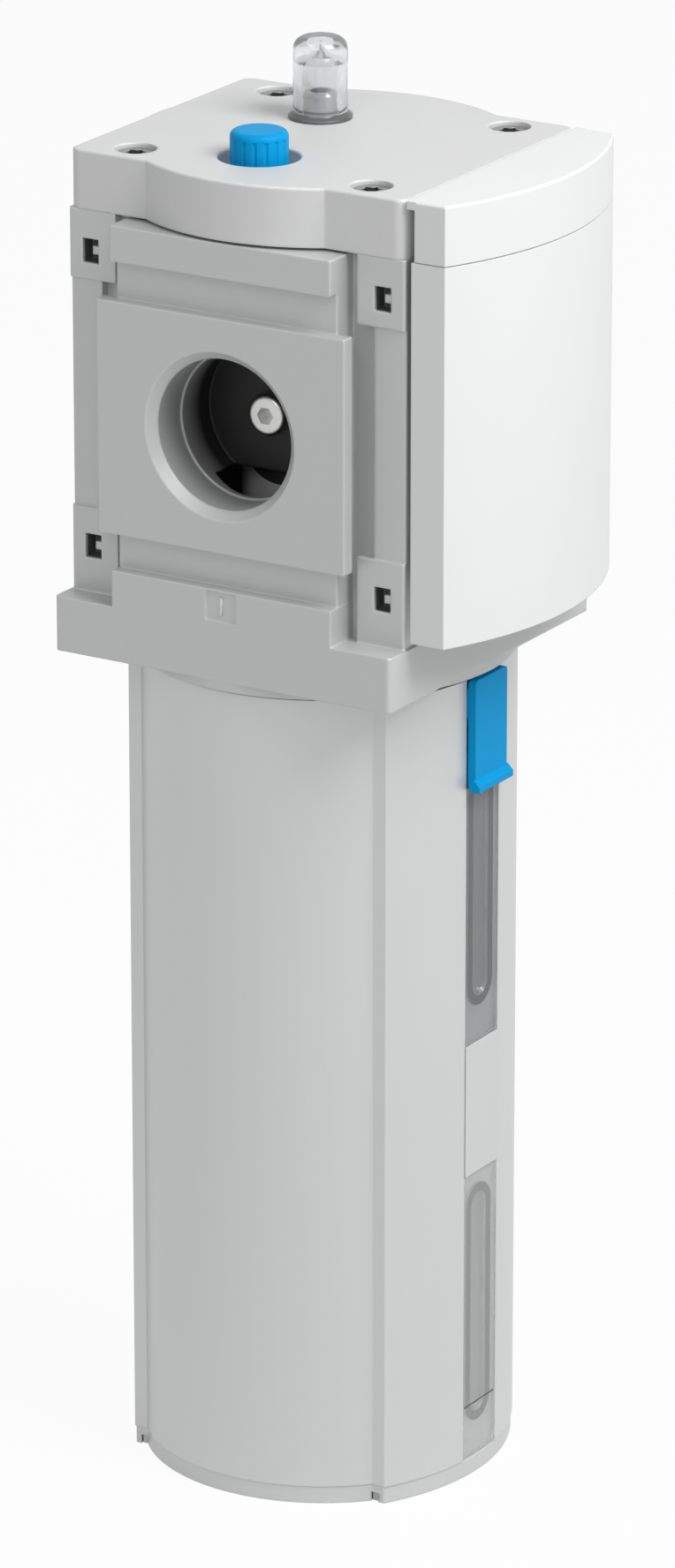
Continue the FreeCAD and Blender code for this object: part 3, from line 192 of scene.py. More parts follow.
class Value:
    """A shader socket that adds Math nodes when it is calculated with."""

    def __init__(self, tree, socket):
        self.tree, self.socket = tree, socket

    def math(self, operation, other=None, swap=False):
        first, second = (other, self) if swap else (self, other)
        inputs = {0: first} if second is None else {0: first, 1: second}
        return self.tree.node("ShaderNodeMath", {"operation": operation}, inputs)

    def __add__(self, other):
        return self.math("ADD", other)

    __radd__ = __add__

    def __sub__(self, other):
        return self.math("SUBTRACT", other)

    def __rsub__(self, other):
        return self.math("SUBTRACT", other, swap=True)

    def __mul__(self, other):
        return self.math("MULTIPLY", other)

    __rmul__ = __mul__

    def __gt__(self, other):
        return self.math("GREATER_THAN", other)

    def __lt__(self, other):
        return self.math("LESS_THAN", other)

    def size(self):
        return self.math("ABSOLUTE")

    def larger(self, other):
        return self.math("MAXIMUM", other)

    def root(self):
        return self.math("SQRT")

    def clamped(self):
        return self.tree.node("ShaderNodeClamp", {}, {"Value": self})


class Finish:
    """A material being built: its tree, its shader and the nodes put in it."""

    def __init__(self, name):
        self.material = bpy.data.materials.new(name)
        self.material.use_nodes = True
        self.nodes, self.links = self.material.node_tree.nodes, self.material.node_tree.links
        self.nodes.clear()
        self.shader = self.nodes.new("ShaderNodeBsdfPrincipled")
        self.output = self.nodes.new("ShaderNodeOutputMaterial")
        self.links.new(self.shader.outputs[0], self.output.inputs["Surface"])

    def feed(self, socket, value):
        """Link a value to a socket, or write a plain number or colour in it."""
        if isinstance(value, Value):
            self.links.new(value.socket, socket)
        elif isinstance(value, (tuple, list)) and len(value) == 3 and socket.type == "RGBA":
            socket.default_value = (*value, 1.0)
        else:
            socket.default_value = value

    def node(self, kind, settings, inputs, output=0):
        made = self.nodes.new(kind)
        for name, setting in settings.items():
            if name == "stops":
                self.ramp(made, setting)
            else:
                setattr(made, name, setting)
        for name, value in inputs.items():
            self.feed(made.inputs[name], value)
        return Value(self, made.outputs[output])

    def ramp(self, made, stops):
        elements = made.color_ramp.elements
        while len(elements) < len(stops):
            elements.new(1.0)
        for element, (place, colour) in zip(elements, stops):
            element.position, element.color = place, (*colour, 1.0)

    def object_place(self, scale=(1.0, 1.0, 1.0)):
        """The point on the object, stretched along its axes."""
        point = self.node("ShaderNodeTexCoord", {}, {}, "Object")
        return self.node("ShaderNodeMapping", {}, {"Vector": point, "Scale": scale})

    def coordinates(self):
        """The point's three coordinates, in metres."""
        point = self.node("ShaderNodeTexCoord", {}, {}, "Object")
        return [self.node("ShaderNodeSeparateXYZ", {}, {"Vector": point}, axis) for axis in "XYZ"]

    def noise(self, size, detail=3.0, stretch=(1.0, 1.0, 1.0), rough=0.5):
        """Noise from 0 to 1 with grains of one size in metres."""
        return self.node("ShaderNodeTexNoise", {}, {
            "Vector": self.object_place(stretch), "Scale": 1.0 / size, "Detail": detail,
            "Roughness": rough})

    def blend_colour(self, factor, first, second):
        return self.node("ShaderNodeMix", {"data_type": "RGBA"},
                         {"Factor": factor, 6: first, 7: second}, 2)

    def rounded(self, radius):
        """Surface direction with the edges rounded."""
        return self.node("ShaderNodeBevel", {"samples": 6}, {"Radius": radius})

    def edge(self, rounded):
        """1 on edges, 0 on flat places."""
        flat = self.node("ShaderNodeNewGeometry", {}, {}, "Normal")
        alike = self.node("ShaderNodeVectorMath", {"operation": "DOT_PRODUCT"},
                          {0: rounded, 1: flat}, "Value")
        return ((1.0 - alike) * 6.0).clamped()

    def bump(self, height, distance, strength=1.0, normal=None):
        inputs = {"Height": height, "Distance": distance, "Strength": strength}
        if normal is not None:
            inputs["Normal"] = normal
        return self.node("ShaderNodeBump", {}, inputs)

    def finish(self, **sockets):
        """Set the shader's own sockets; _ in a name stands for a space."""
        for name, value in sockets.items():
            self.feed(self.shader.inputs[name.replace("_", " ")], value)
        return self.material


def shade(colour, amount):
    """A colour made darker or lighter."""
    return tuple(min(1.0, part * amount) for part in colour)


# ---------------------------------------------------------------- materials

def painted_recess_shade(made):
    """Mask of painted shade: rising with depth to 1 deep in the ports' passages, 0.8 in the connector
    pockets, 0 outside.
    """
    across, along, up = made.coordinates()
    port = port_height()
    off_axis = (along * along + (up - port) * (up - port)).root()
    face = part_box("head_housing")[1].x
    deep = ((face - PORT_MOUTH - across.size()) * (1 / PASSAGE_SHADE_FADE)).clamped()
    passage = (off_axis < PASSAGE_RADIUS) * deep * deep
    side = along.size()
    pocket = (across.size() < face - POCKET_FACE) * (side > POCKET_NEAR) * (side < POCKET_FAR)
    return passage.larger(pocket * 0.8)


def port_height():
    ports = [mount for mount in frame["record"]["mounts"] if mount["name"] == "inlet_port"]
    return ports[0]["pos_m"][2]


def blasted_metal(name, colour, settings, metallic=0.35, roughness=0.5, recess_shade=None):
    """Die-cast aluminium, blasted: fine grain, faint clouds and paler edges, partly wear and partly
    painted highlight; where a mask is given, painted shade darkens the recesses nearly to black.
    """
    made = Finish(name)
    rounded = made.rounded(settings.edge_round)
    grain = made.noise(settings.grain_size, 4.0)
    cloud = made.noise(14 * MM, 3.0)
    base = made.blend_colour(cloud, shade(colour, 0.965), shade(colour, 1.035))
    speckled = made.blend_colour(grain, shade(colour, 0.93), base)
    # Paler edges, partly wear and partly painted highlight.
    worn_and_lit_edge = made.edge(rounded) * settings.edge_wear_and_highlight
    bright = made.blend_colour(worn_and_lit_edge, speckled, shade(colour, 1.45))
    # Painted shade: the passages and pockets are coloured nearly black with depth.
    if recess_shade:
        bright = made.blend_colour(recess_shade(made), bright, shade(colour, 0.04))
    return made.finish(
        Base_Color=bright, Metallic=metallic,
        Roughness=roughness + (grain - 0.5) * 0.16 + (cloud - 0.5) * 0.08,
        Normal=made.bump(grain, 0.05 * MM, 0.55, rounded))


def drawn_metal(name, colour, settings):
    """Extruded and anodised aluminium: faint lines along the bowl, and paler edges that are partly wear
    and partly painted highlight.
    """
    made = Finish(name)
    rounded = made.rounded(settings.edge_round * 0.5)
    lines = made.noise(0.5 * MM, 3.0, (1.0, 1.0, 0.012))
    grain = made.noise(0.3 * MM, 2.0)
    cloud = made.noise(30 * MM, 2.0)
    base = made.blend_colour(lines, shade(colour, 0.975), shade(colour, 1.02))
    toned = made.blend_colour(cloud * 0.5, base, shade(colour, 1.03))
    # Paler edges, partly wear and partly painted highlight.
    bright = made.blend_colour(made.edge(rounded) * settings.edge_wear_and_highlight, toned, shade(colour, 1.4))
    height = lines * 0.7 + grain * 0.3
    return made.finish(
        Base_Color=bright, Metallic=0.45, Roughness=0.42 + (lines - 0.5) * 0.14,
        Normal=made.bump(height, 0.02 * MM, 0.5, rounded))


def moulded_plastic(name, colour, roughness=0.42, gloss=0.3):
    """Moulded plastic with a fine eroded texture."""
    grain, depth = 0.35 * MM, 0.015 * MM
    made = Finish(name)
    rounded = made.rounded(0.5 * MM)
    texture = made.noise(grain, 3.0)
    cloud = made.noise(22 * MM, 2.0)
    base = made.blend_colour(cloud, shade(colour, 0.985), shade(colour, 1.01))
    return made.finish(
        Base_Color=base, Roughness=roughness + (texture - 0.5) * 0.12, Specular_IOR_Level=gloss,
        Normal=made.bump(texture, depth, 0.6, rounded))


def turned_metal(name, colour, roughness=0.3):
    """Turned or rolled metal with fine marks and a few duller clouds."""
    made = Finish(name)
    rounded = made.rounded(0.25 * MM)
    marks = made.noise(0.25 * MM, 3.0, (1.0, 1.0, 3.0))
    cloud = made.noise(5 * MM, 3.0)
    base = made.blend_colour(cloud, shade(colour, 0.88), shade(colour, 1.08))
    return made.finish(
        Base_Color=base, Metallic=1.0, Roughness=roughness + (cloud - 0.5) * 0.2,
        Normal=made.bump(marks, 0.01 * MM, 0.5, rounded))


def seal_rubber():
    """Black nitrile rubber, slightly dusty."""
    made = Finish("nitrile_rubber")
    dust = made.noise(2.5 * MM, 5.0)
    return made.finish(
        Base_Color=made.blend_colour(dust, (0.012, 0.012, 0.013), (0.045, 0.045, 0.047)),
        Roughness=0.62 + (dust - 0.5) * 0.2, Normal=made.bump(dust, 0.02 * MM, 0.4))


def window_plastic(name, tone, clearness):
    """Clear polyamide of the sight windows, with very fine scratches and faint haze; its given tone is
    painted light on the lower window and painted shade on the upper one.
    """
    made = Finish(name)
    haze = made.noise(18 * MM, 3.0)
    scratch = made.noise(0.9 * MM, 2.0, (1.0, 1.0, 0.15))
    return made.finish(
        Base_Color=made.blend_colour(haze, shade(tone, 0.94), tone),
        Roughness=0.06 + haze * 0.08, Transmission_Weight=clearness, IOR=1.5,
        Normal=made.bump(scratch, 0.01 * MM, 0.25))


def dome_plastic():
    """Clear dome with the faint flow lines of its moulding."""
    made = Finish("dome_plastic")
    flow = made.noise(3 * MM, 2.0, (1.0, 1.0, 0.5))
    return made.finish(
        Base_Color=made.blend_colour(flow, (0.80, 0.82, 0.83), (0.93, 0.945, 0.95)),
        Roughness=0.05 + flow * 0.08, Transmission_Weight=0.88, IOR=1.49,
        Normal=made.bump(flow, 0.25 * MM, 0.6))


def filter_paper():
    """White borosilicate fleece with crossing fibres."""
    made = Finish("filter_paper")
    fibre = made.noise(0.6 * MM, 5.0, (1.0, 1.0, 0.2))
    across = made.noise(0.8 * MM, 4.0, (0.3, 0.3, 1.0))
    height = fibre * 0.5 + across * 0.5
    return made.finish(
        Base_Color=made.blend_colour(height, (0.62, 0.61, 0.57), (0.90, 0.89, 0.85)),
        Roughness=0.9, Normal=made.bump(height, 0.12 * MM, 0.7))


def dress(material, *nodes):
    """Give every slot of these nodes one material."""
    for name in nodes:
        for slot in frame["nodes"][name].material_slots:
            slot.material = material


def finish_settings():
    return bpy.context.scene.filter_finish


# ---------------------------------------------------------------- new pieces

def new_piece(name, mesh, material, body):
    """A finished piece that rides on a body, with its place in its mesh."""
    piece = bpy.data.objects.new(name, mesh)
    bpy.context.scene.collection.objects.link(piece)
    mesh.materials.clear()
    mesh.materials.append(material)
    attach(piece, body)
    return piece


def raised_text(name, text, height, rise, place, material):
    """A closed raised character, standing on a surface: place is its matrix."""
    curve = bpy.data.curves.new(name, "FONT")
    curve.body, curve.align_x, curve.align_y = text, "CENTER", "CENTER"
    curve.size, curve.extrude = height * 1.38, rise / 2
    curve.bevel_depth, curve.bevel_resolution = 0.08 * MM, 1
    written = bpy.data.objects.new(name, curve)
    bpy.context.scene.collection.objects.link(written)
    shapes = bpy.context.evaluated_depsgraph_get()
    mesh = bpy.data.meshes.new_from_object(written.evaluated_get(shapes))
    bpy.data.objects.remove(written)
    corners = [corner.co for corner in mesh.vertices]
    middle = Vector([(max(c[i] for c in corners) + min(c[i] for c in corners)) / 2 for i in range(3)])
    mesh.transform(place @ Matrix.Translation(-middle))
    return new_piece(name, mesh, material, "head")


def bar_mesh(name, low, high, rounding):
    """A thin bar with rounded edges."""
    shape = bmesh.new()
    bmesh.ops.create_cube(shape, size=1.0)
    low, high = Vector(low), Vector(high)
    for corner in shape.verts:
        corner.co = Vector([low[i] + (corner.co[i] + 0.5) * (high[i] - low[i]) for i in range(3)])
    bmesh.ops.bevel(shape, geom=shape.edges[:], offset=rounding, segments=2,
                    affect="EDGES", profile=0.5)
    mesh = bpy.data.meshes.new(name)
    shape.to_mesh(mesh)
    shape.free()
    return mesh


class Tree:
    """A Geometry Nodes tree with named inputs."""

    def __init__(self, name):
        self.group = bpy.data.node_groups.new(name, "GeometryNodeTree")
        self.group.interface.new_socket("Geometry", in_out="OUTPUT", socket_type="NodeSocketGeometry")
        self.start = self.group.nodes.new("NodeGroupInput")
        self.end = self.group.nodes.new("NodeGroupOutput")
        self.given = {}

    def size(self, name, kind, value):
        """An input of the tree, and the value its modifier gives it."""
        socket = self.group.interface.new_socket(name, in_out="INPUT", socket_type=kind)
        self.given[socket.identifier] = value
        return self.start.outputs[name]

    def node(self, kind, settings, inputs, output=0):
        made = self.group.nodes.new(kind)
        for name, setting in settings.items():
            setattr(made, name, setting)
        for name, value in inputs.items():
            if isinstance(value, bpy.types.NodeSocket):
                self.group.links.new(value, made.inputs[name])
            else:
                made.inputs[name].default_value = value
        return made.outputs[output]

    def math(self, operation, first, second):
        return self.node("ShaderNodeMath", {"operation": operation}, {0: first, 1: second})

    def mesh(self, geometry, material):
        """The tree's result as a plain mesh."""
        whole = self.node("GeometryNodeRealizeInstances", {}, {"Geometry": geometry})
        dressed = self.node("GeometryNodeSetMaterial", {}, {"Geometry": whole, "Material": material})
        self.group.links.new(dressed, self.end.inputs[0])
        holder = bpy.data.objects.new("holder", bpy.data.meshes.new("holder"))
        bpy.context.scene.collection.objects.link(holder)
        modifier = holder.modifiers.new("tree", "NODES")
        modifier.node_group = self.group
        for identifier, value in self.given.items():
            modifier[identifier] = value
        shapes = bpy.context.evaluated_depsgraph_get()
        result = bpy.data.meshes.new_from_object(holder.evaluated_get(shapes))
        holder.modifiers.remove(modifier)
        bpy.data.objects.remove(holder)
        return result


def pleated_sleeve(count, paper, inner, outer, low, high, material):
    """Folded filter paper: two leaning leaves for each pleat, round the axis."""
    tree = Tree("pleats")
    pleats = tree.size("Pleats", "NodeSocketInt", count)
    inside = tree.size("Inside", "NodeSocketFloat", inner)
    outside = tree.size("Outside", "NodeSocketFloat", outer)
    thick = tree.size("Paper", "NodeSocketFloat", paper)
    bottom = tree.size("Bottom", "NodeSocketFloat", low)
    top = tree.size("Top", "NodeSocketFloat", high)
    middle = tree.math("MULTIPLY", tree.math("ADD", inside, outside), 0.5)
    depth = tree.math("SUBTRACT", outside, inside)
    tall = tree.math("SUBTRACT", top, bottom)
    sheet_size = tree.node("ShaderNodeCombineXYZ", {}, {"X": depth, "Y": thick, "Z": tall})
    leaf = tree.node("GeometryNodeMeshCube", {}, {"Size": sheet_size, "Vertices Z": 8})
    leaves = tree.math("MULTIPLY", pleats, 2.0)
    spots = tree.node("GeometryNodePoints", {}, {"Count": leaves})
    index = tree.node("GeometryNodeInputIndex", {}, {})
    turn = tree.math("MULTIPLY", tree.math("DIVIDE", index, leaves), 2 * math.pi)
    across = tree.math("MULTIPLY", tree.math("COSINE", turn, 0.0), middle)
    along = tree.math("MULTIPLY", tree.math("SINE", turn, 0.0), middle)
    up = tree.math("MULTIPLY", tree.math("ADD", bottom, top), 0.5)
    place = tree.node("ShaderNodeCombineXYZ", {}, {"X": across, "Y": along, "Z": up})
    placed = tree.node("GeometryNodeSetPosition", {}, {"Geometry": spots, "Position": place})
    side = tree.math("SUBTRACT", tree.math("MULTIPLY", tree.math("MODULO", index, 2.0), 2.0), 1.0)
    lean = tree.math("MULTIPLY", side, 2.2 * math.pi / count)
    facing = tree.node("ShaderNodeCombineXYZ", {}, {"Z": tree.math("ADD", turn, lean)})
    folded = tree.node("GeometryNodeInstanceOnPoints", {},
                       {"Points": placed, "Instance": leaf, "Rotation": facing})
    return tree.mesh(folded, material)


def pocket_tongues(size, centre, rise, material):
    """The short tongue in each square connector pocket: two sides, two edges, two heights."""
    tree = Tree("tongues")
    block = tree.size("Tongue", "NodeSocketVector", size)
    middle = tree.size("Upper right", "NodeSocketVector", centre)
    step = tree.size("Rise", "NodeSocketFloat", rise)
    index = tree.node("GeometryNodeInputIndex", {}, {})
    half = tree.math("FLOOR", tree.math("DIVIDE", index, 2.0), 0.0)
    quarter = tree.math("FLOOR", tree.math("DIVIDE", index, 4.0), 0.0)
    sides = [tree.math("SUBTRACT", tree.math("MULTIPLY", tree.math("MODULO", count, 2.0), 2.0), 1.0)
             for count in (index, half)]
    parts = [tree.node("ShaderNodeSeparateXYZ", {}, {"Vector": middle}, axis) for axis in "XYZ"]
    across = tree.math("MULTIPLY", sides[0], parts[0])
    along = tree.math("MULTIPLY", sides[1], parts[1])
    width = tree.node("ShaderNodeSeparateXYZ", {}, {"Vector": block}, "Y")
    seated = tree.math("SUBTRACT", along, tree.math("MULTIPLY", width, 0.5))
    up = tree.math("SUBTRACT", parts[2], tree.math("MULTIPLY", quarter, step))
    place = tree.node("ShaderNodeCombineXYZ", {}, {"X": across, "Y": seated, "Z": up})
    spots = tree.node("GeometryNodePoints", {}, {"Count": 8})
    placed = tree.node("GeometryNodeSetPosition", {}, {"Geometry": spots, "Position": place})
    tongue = tree.node("GeometryNodeMeshCube", {}, {"Size": block})
    repeated = tree.node("GeometryNodeInstanceOnPoints", {}, {"Points": placed, "Instance": tongue})
    return tree.mesh(repeated, material)


# ---------------------------------------------------------------- operators

class FILTER_OT_head(bpy.types.Operator):
    """Blasted aluminium on the head, with painted shade deep in its passages and pockets, and brushed
    steel on its plug screw
    """
    bl_idname = "filter.head"
    bl_label = "Head"

    def execute(self, context):
        look = finish_settings()
        # Painted shade darkens the head's passages and pockets.
        metal = blasted_metal("blasted_aluminium_with_painted_shade", look.head_metal, look, recess_shade=painted_recess_shade)
        dress(metal, "head_housing", "bayonet_ring")
        dress(turned_metal("plug_steel", (0.62, 0.62, 0.60), 0.24), "passage_plug")
        return {"FINISHED"}


class FILTER_OT_port_numbers(bpy.types.Operator):
    """Raised numbers in the recesses under the two ports"""
    bl_idname = "filter.port_numbers"
    bl_label = "Port numbers"

    def execute(self, context):
        look, sizes = finish_settings(), context.scene.filter_detail
        metal = blasted_metal("number_aluminium", shade(look.head_metal, 1.15), look, 0.35, 0.42)
        low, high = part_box("head_housing")
        for text, face, turn in (("1", low.x + NUMBER_RECESS, -90), ("2", high.x - NUMBER_RECESS, 90)):
            upright = Matrix.Rotation(math.radians(90), 4, "X")
            facing = Matrix.Rotation(math.radians(turn), 4, "Z") @ upright
            out = math.copysign(sizes.number_rise / 2 - 0.05 * MM, turn)
            place = Matrix.Translation((face + out, 0.0, NUMBER_CENTRE)) @ facing
            raised_text(f"port_number_{text}", text, sizes.number_height, sizes.number_rise,
                        place, metal)
        return {"FINISHED"}


class FILTER_OT_pocket_tongues(bpy.types.Operator):
    """The tongues in the square connector pockets at the head's corners"""
    bl_idname = "filter.pocket_tongues"
    bl_label = "Pocket tongues"

    def execute(self, context):
        look = finish_settings()
        metal = blasted_metal("tongue_aluminium", look.head_metal, look)
        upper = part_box("head_housing")[1].z - POCKET_DROP
        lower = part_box("front_cover")[0].z - COVER_LIFT + POCKET_RISE
        tongue = (TONGUE_DEPTH, POCKET_WIDTH / 2, TONGUE_HEIGHT)
        centre = (POCKET_FLOOR + TONGUE_DEPTH / 2, POCKET_CENTRE, upper)
        mesh = pocket_tongues(tongue, centre, upper - lower, metal)
        new_piece("pocket_tongues", mesh, metal, "head")
        return {"FINISHED"}


class FILTER_OT_top_cover(bpy.types.Operator):
    """Painted aluminium on the plate over the head, and its screws and seal"""
    bl_idname = "filter.top_cover"
    bl_label = "Top cover"

    def execute(self, context):
        look = finish_settings()
        dress(blasted_metal("top_aluminium", look.top_metal, look, 0.15, 0.5), "top_cover")
        dress(turned_metal("screw_steel", (0.34, 0.34, 0.35), 0.33),
              "top_cover_screws", "base_cap_screws")
        return {"FINISHED"}


class FILTER_OT_front_covers(bpy.types.Operator):
    """White plastic on the front covers"""
    bl_idname = "filter.front_covers"
    bl_label = "Front covers"

    def execute(self, context):
        white = moulded_plastic("cover_plastic", finish_settings().cover_white, 0.4)
        dress(white, "front_cover", "front_cover_cap")
        return {"FINISHED"}


class FILTER_OT_bowl(bpy.types.Operator):
    """Anodised aluminium on the bowl, its base and the bar between the windows"""
    bl_idname = "filter.bowl"
    bl_label = "Bowl"

    def execute(self, context):
        look = finish_settings()
        dress(drawn_metal("anodised_aluminium", look.bowl_metal, look), "bowl_tube", "window_bar")
        base = blasted_metal("base_aluminium", look.bowl_metal, look, 0.4, 0.45)
        dress(base, "base_cap")
        return {"FINISHED"}


class FILTER_OT_windows(bpy.types.Operator):
    """Clear sight windows, the lower one coloured paler as painted light from behind and the upper one
    darker grey as painted shade, with the condensate mark on the lower one
    """
    bl_idname = "filter.windows"
    bl_label = "Sight windows"

    def execute(self, context):
        sizes = context.scene.filter_detail
        # Painted light: the lower window's near-white tone stands in for light coming through it from
        # behind.
        dress(window_plastic("lower_window_painted_light", (0.94, 0.95, 0.95), 0.72), "sight_glass_lower")
        # Painted shade: the upper window's darker grey stands in for the shade behind it.
        dress(window_plastic("upper_window_painted_shade", (0.70, 0.73, 0.74), 0.85), "sight_glass_upper")
        low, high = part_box("sight_glass_lower")
        ink = moulded_plastic("mark_ink", (0.10, 0.10, 0.11), 0.5)
        half = (high.x - low.x) / 2 - 0.6 * MM
        mark = bar_mesh("level_mark",
                        (-half, low.y - MARK_PROUD, sizes.mark_height - sizes.mark_line / 2),
                        (half, low.y + 0.05 * MM, sizes.mark_height + sizes.mark_line / 2), 0.04 * MM)
        new_piece("level_mark", mark, ink, "bowl")
        return {"FINISHED"}


class FILTER_OT_lock(bpy.types.Operator):
    """Blue plastic on the lock slide, steel on its stop"""
    bl_idname = "filter.lock"
    bl_label = "Lock slide"

    def execute(self, context):
        dress(moulded_plastic("lock_plastic", finish_settings().action_blue, 0.45, 0.1), "latch_slide")
        dress(turned_metal("stop_steel", (0.45, 0.45, 0.46), 0.35), "latch_stop")
        return {"FINISHED"}


class FILTER_OT_button(bpy.types.Operator):
    """Blue push button with its brass bush"""
    bl_idname = "filter.button"
    bl_label = "Push button"

    def execute(self, context):
        dress(moulded_plastic("button_plastic", finish_settings().action_blue, 0.45, 0.1),
              "reset_button")
        dress(turned_metal("turned_brass", (0.66, 0.50, 0.24), 0.3), "button_bush", "element_nut",
              "drain_body", "drain_nut")
        return {"FINISHED"}


class FILTER_OT_indicator(bpy.types.Operator):
    """Clear dome over the red indicator pin"""
    bl_idname = "filter.indicator"
    bl_label = "Indicator"

    def execute(self, context):
        dress(dome_plastic(), "indicator_dome")
        dress(turned_metal("plated_steel", (0.50, 0.50, 0.50), 0.22), "indicator_base")
        dress(moulded_plastic("signal_plastic", (0.55, 0.02, 0.015), 0.35), "indicator_pin")
        return {"FINISHED"}


class FILTER_OT_element(bpy.types.Operator):
    """Pleated filter sleeve on its support tube, with end caps, stud and baffle"""
    bl_idname = "filter.element"
    bl_label = "Filter element"

    def execute(self, context):
        sizes = context.scene.filter_detail
        low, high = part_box("filter_media")
        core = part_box("element_core")[1]
        paper = filter_paper()
        sleeve = pleated_sleeve(sizes.pleats, sizes.pleat_paper, core.x + SLEEVE_GAP,
                                high.x - 0.4 * MM, low.z, high.z, paper)
        piece = new_piece("pleated_sleeve", sleeve, paper, "head")
        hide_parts("filter_media")
        black = moulded_plastic("black_polyamide", (0.022, 0.022, 0.024), 0.45)
        dress(black, "element_top_cap", "element_bottom_cap", "baffle_disc", "flow_deflector",
              "drain_knob")
        dress(turned_metal("core_steel", (0.56, 0.56, 0.56), 0.3), "element_core", "element_stud")
        return {"FINISHED"}


class FILTER_OT_small_parts(bpy.types.Operator):
    """Rubber on the seals and gaskets, spring steel on springs and clips"""
    bl_idname = "filter.small_parts"
    bl_label = "Seals and springs"

    def execute(self, context):
        dress(seal_rubber(), "top_cover_seal", "bowl_seal", "base_cap_seal", "element_seal",
              "drain_seal",
              "sight_gasket_lower", "sight_gasket_upper")
        dress(turned_metal("spring_steel", (0.42, 0.42, 0.44), 0.26), "latch_spring", "button_spring",
              "indicator_spring", "indicator_clip", "button_clip")
        return {"FINISHED"}


# ---------------------------------------------------------------- stage

def white_for_the_camera(made):
    """1 for what the camera, a reflection or a clear piece sees, 0 for the light on the object."""
    kinds = ["Is Camera Ray", "Is Glossy Ray", "Is Transmission Ray"]
    camera, glossy, clear = [made.node("ShaderNodeLightPath", {}, {}, kind) for kind in kinds]
    return (camera + glossy + clear).clamped()


def pale_floor(glow):
    """A floor that shows as nearly plain white and keeps the filter's soft shadow."""
    made = Finish("floor")
    tint = made.noise(0.4, 2.0)
    made.finish(Base_Color=made.blend_colour(tint, (0.70, 0.70, 0.70), (0.73, 0.73, 0.73)),
                Roughness=0.85)
    plain = made.nodes.new("ShaderNodeEmission")
    mixed = made.nodes.new("ShaderNodeMixShader")
    made.feed(mixed.inputs[0], white_for_the_camera(made) * glow)
    made.links.new(made.shader.outputs[0], mixed.inputs[1])
    made.links.new(plain.outputs[0], mixed.inputs[2])
    made.links.new(mixed.outputs[0], made.output.inputs["Surface"])
    return made.material


def light_sky(strength):
    """White where it is seen, and a plain even light elsewhere."""
    world = bpy.data.worlds.new("studio")
    bpy.context.scene.world = world
    world.use_nodes = True
    nodes, links = world.node_tree.nodes, world.node_tree.links
    nodes.clear()
    path = nodes.new("ShaderNodeLightPath")
    seen = path.outputs["Is Camera Ray"]
    for kind in ("Is Glossy Ray", "Is Transmission Ray"):
        either = nodes.new("ShaderNodeMath")
        either.operation = "MAXIMUM"
        links.new(seen, either.inputs[0])
        links.new(path.outputs[kind], either.inputs[1])
        seen = either.outputs[0]
    power = nodes.new("ShaderNodeMapRange")
    power.inputs["To Min"].default_value = strength
    power.inputs["To Max"].default_value = 1.0
    links.new(seen, power.inputs["Value"])
    sky = nodes.new("ShaderNodeBackground")
    links.new(power.outputs["Result"], sky.inputs["Strength"])
    output = nodes.new("ShaderNodeOutputWorld")
    links.new(sky.outputs[0], output.inputs["Surface"])


def soft_light(name, place, target, size, power):
    """A square soft light that looks at a point."""
    lamp = bpy.data.lights.new(name, "AREA")
    lamp.shape, lamp.size, lamp.energy = "SQUARE", size, power
    holder = bpy.data.objects.new(name, lamp)
    bpy.context.scene.collection.objects.link(holder)
    holder.location = place
    holder.rotation_euler = (Vector(target) - Vector(place)).to_track_quat("-Z", "Y").to_euler()


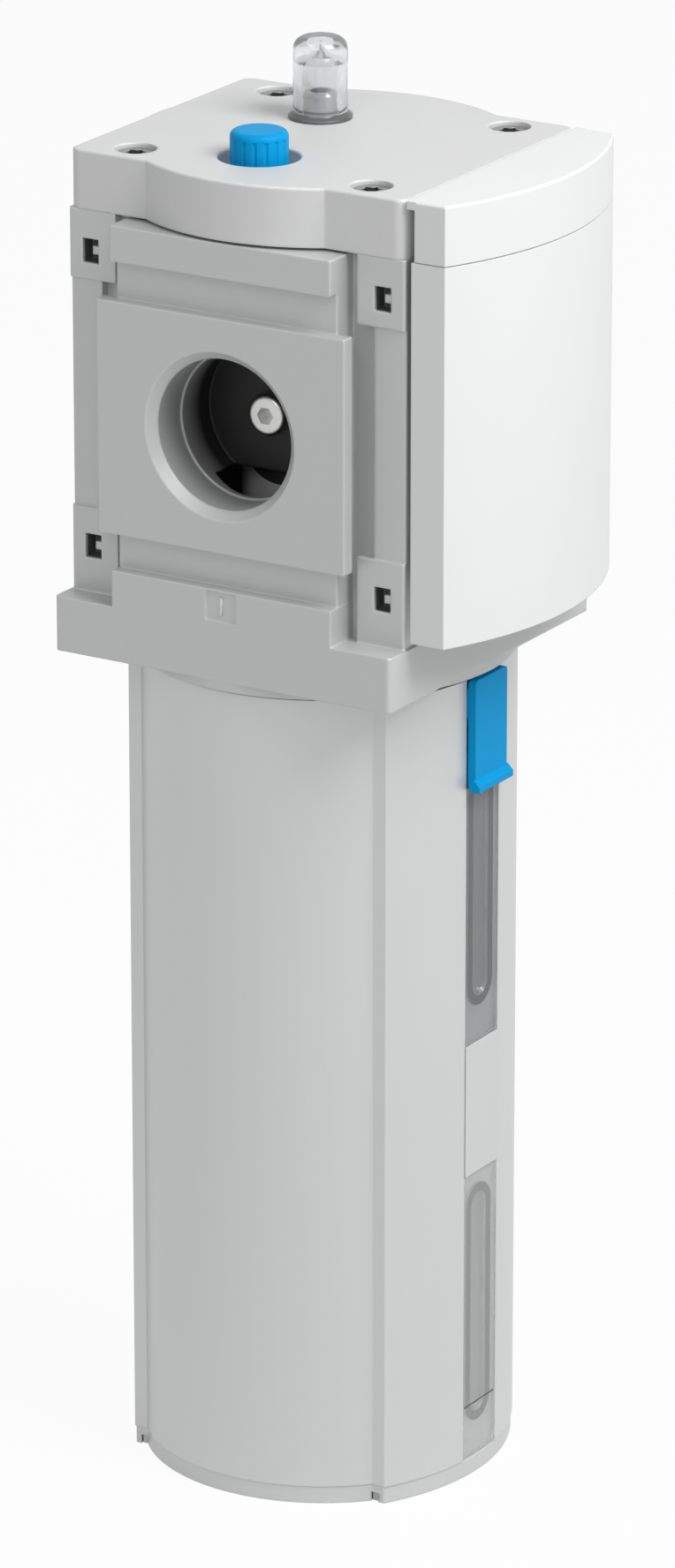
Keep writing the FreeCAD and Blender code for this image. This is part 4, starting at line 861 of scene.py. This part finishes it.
class FILTER_OT_stage(bpy.types.Operator):
    """Floor, even studio light and the camera"""
    bl_idname = "filter.stage"
    bl_label = "Stage"

    def execute(self, context):
        stage = context.scene.filter_stage
        scene = context.scene
        middle = (CAD_LOW + CAD_HIGH) / 2
        tall = CAD_HIGH.z - CAD_LOW.z
        half = 40 * tall
        floor_mesh = bpy.data.meshes.new("floor")
        corners = [(x * half, y * half, CAD_LOW.z) for x, y in ((-1, -1), (1, -1), (1, 1), (-1, 1))]
        floor_mesh.from_pydata(corners, [], [(0, 1, 2, 3)])
        floor_mesh.materials.append(pale_floor(stage.floor_glow))
        floor = bpy.data.objects.new("floor", floor_mesh)
        scene.collection.objects.link(floor)
        light_sky(stage.sky)
        soft_light("key", (-0.2 * tall, -2.3 * tall, 3.3 * tall), middle, 2.0 * tall, stage.key_power)
        soft_light("side", (-2.6 * tall, -0.6 * tall, 2.9 * tall), middle, 1.8 * tall, stage.side_power)
        camera = bpy.data.cameras.new("camera")
        camera.lens, camera.sensor_width = stage.lens, 36.0
        camera.clip_start, camera.clip_end = 0.05, 100.0
        holder = bpy.data.objects.new("camera", camera)
        scene.collection.objects.link(holder)
        a, e = stage.azimuth, stage.elevation
        back = Vector((math.sin(a) * math.cos(e), -math.cos(a) * math.cos(e), math.sin(e)))
        right = Vector((math.cos(a), math.sin(a), 0.0))
        up = back.cross(right)
        holder.location = right * stage.aim_side + up * stage.aim_rise + back * stage.distance
        turn = Matrix((right, up, back)).transposed()
        holder.rotation_euler = turn.to_euler()
        scene.camera = holder
        scene.view_settings.view_transform = "Standard"
        return {"FINISHED"}


OPERATORS = (FILTER_OT_head, FILTER_OT_port_numbers, FILTER_OT_pocket_tongues,
             FILTER_OT_top_cover, FILTER_OT_front_covers,
             FILTER_OT_bowl, FILTER_OT_windows, FILTER_OT_lock, FILTER_OT_button, FILTER_OT_indicator,
             FILTER_OT_element, FILTER_OT_small_parts, FILTER_OT_stage)


class FILTER_PT_panel(bpy.types.Panel):
    """The filter's steps, in order"""
    bl_idname = "FILTER_PT_panel"
    bl_label = "Compressed Air Filter"
    bl_space_type = "VIEW_3D"
    bl_region_type = "UI"
    bl_category = "Air Filter"

    def draw(self, context):
        for group in SETTINGS:
            settings = getattr(context.scene, group)
            for name in settings.bl_rna.properties.keys():
                if name not in ("rna_type", "name"):
                    self.layout.prop(settings, name)
        for operator in OPERATORS:
            self.layout.operator(operator.bl_idname)


CLASSES = (*SETTINGS.values(), *OPERATORS, FILTER_PT_panel)


def register():
    for kind in CLASSES:
        bpy.utils.register_class(kind)
    for name, kind in SETTINGS.items():
        setattr(bpy.types.Scene, name, bpy.props.PointerProperty(type=kind))


def unregister():
    for name in SETTINGS:
        delattr(bpy.types.Scene, name)
    for kind in reversed(CLASSES):
        bpy.utils.unregister_class(kind)


def main():
    """Register and run every step in order."""
    register()
    for operator in OPERATORS:
        group, name = operator.bl_idname.split(".")
        getattr(getattr(bpy.ops, group), name)()


if __name__ == "__main__":
    main()
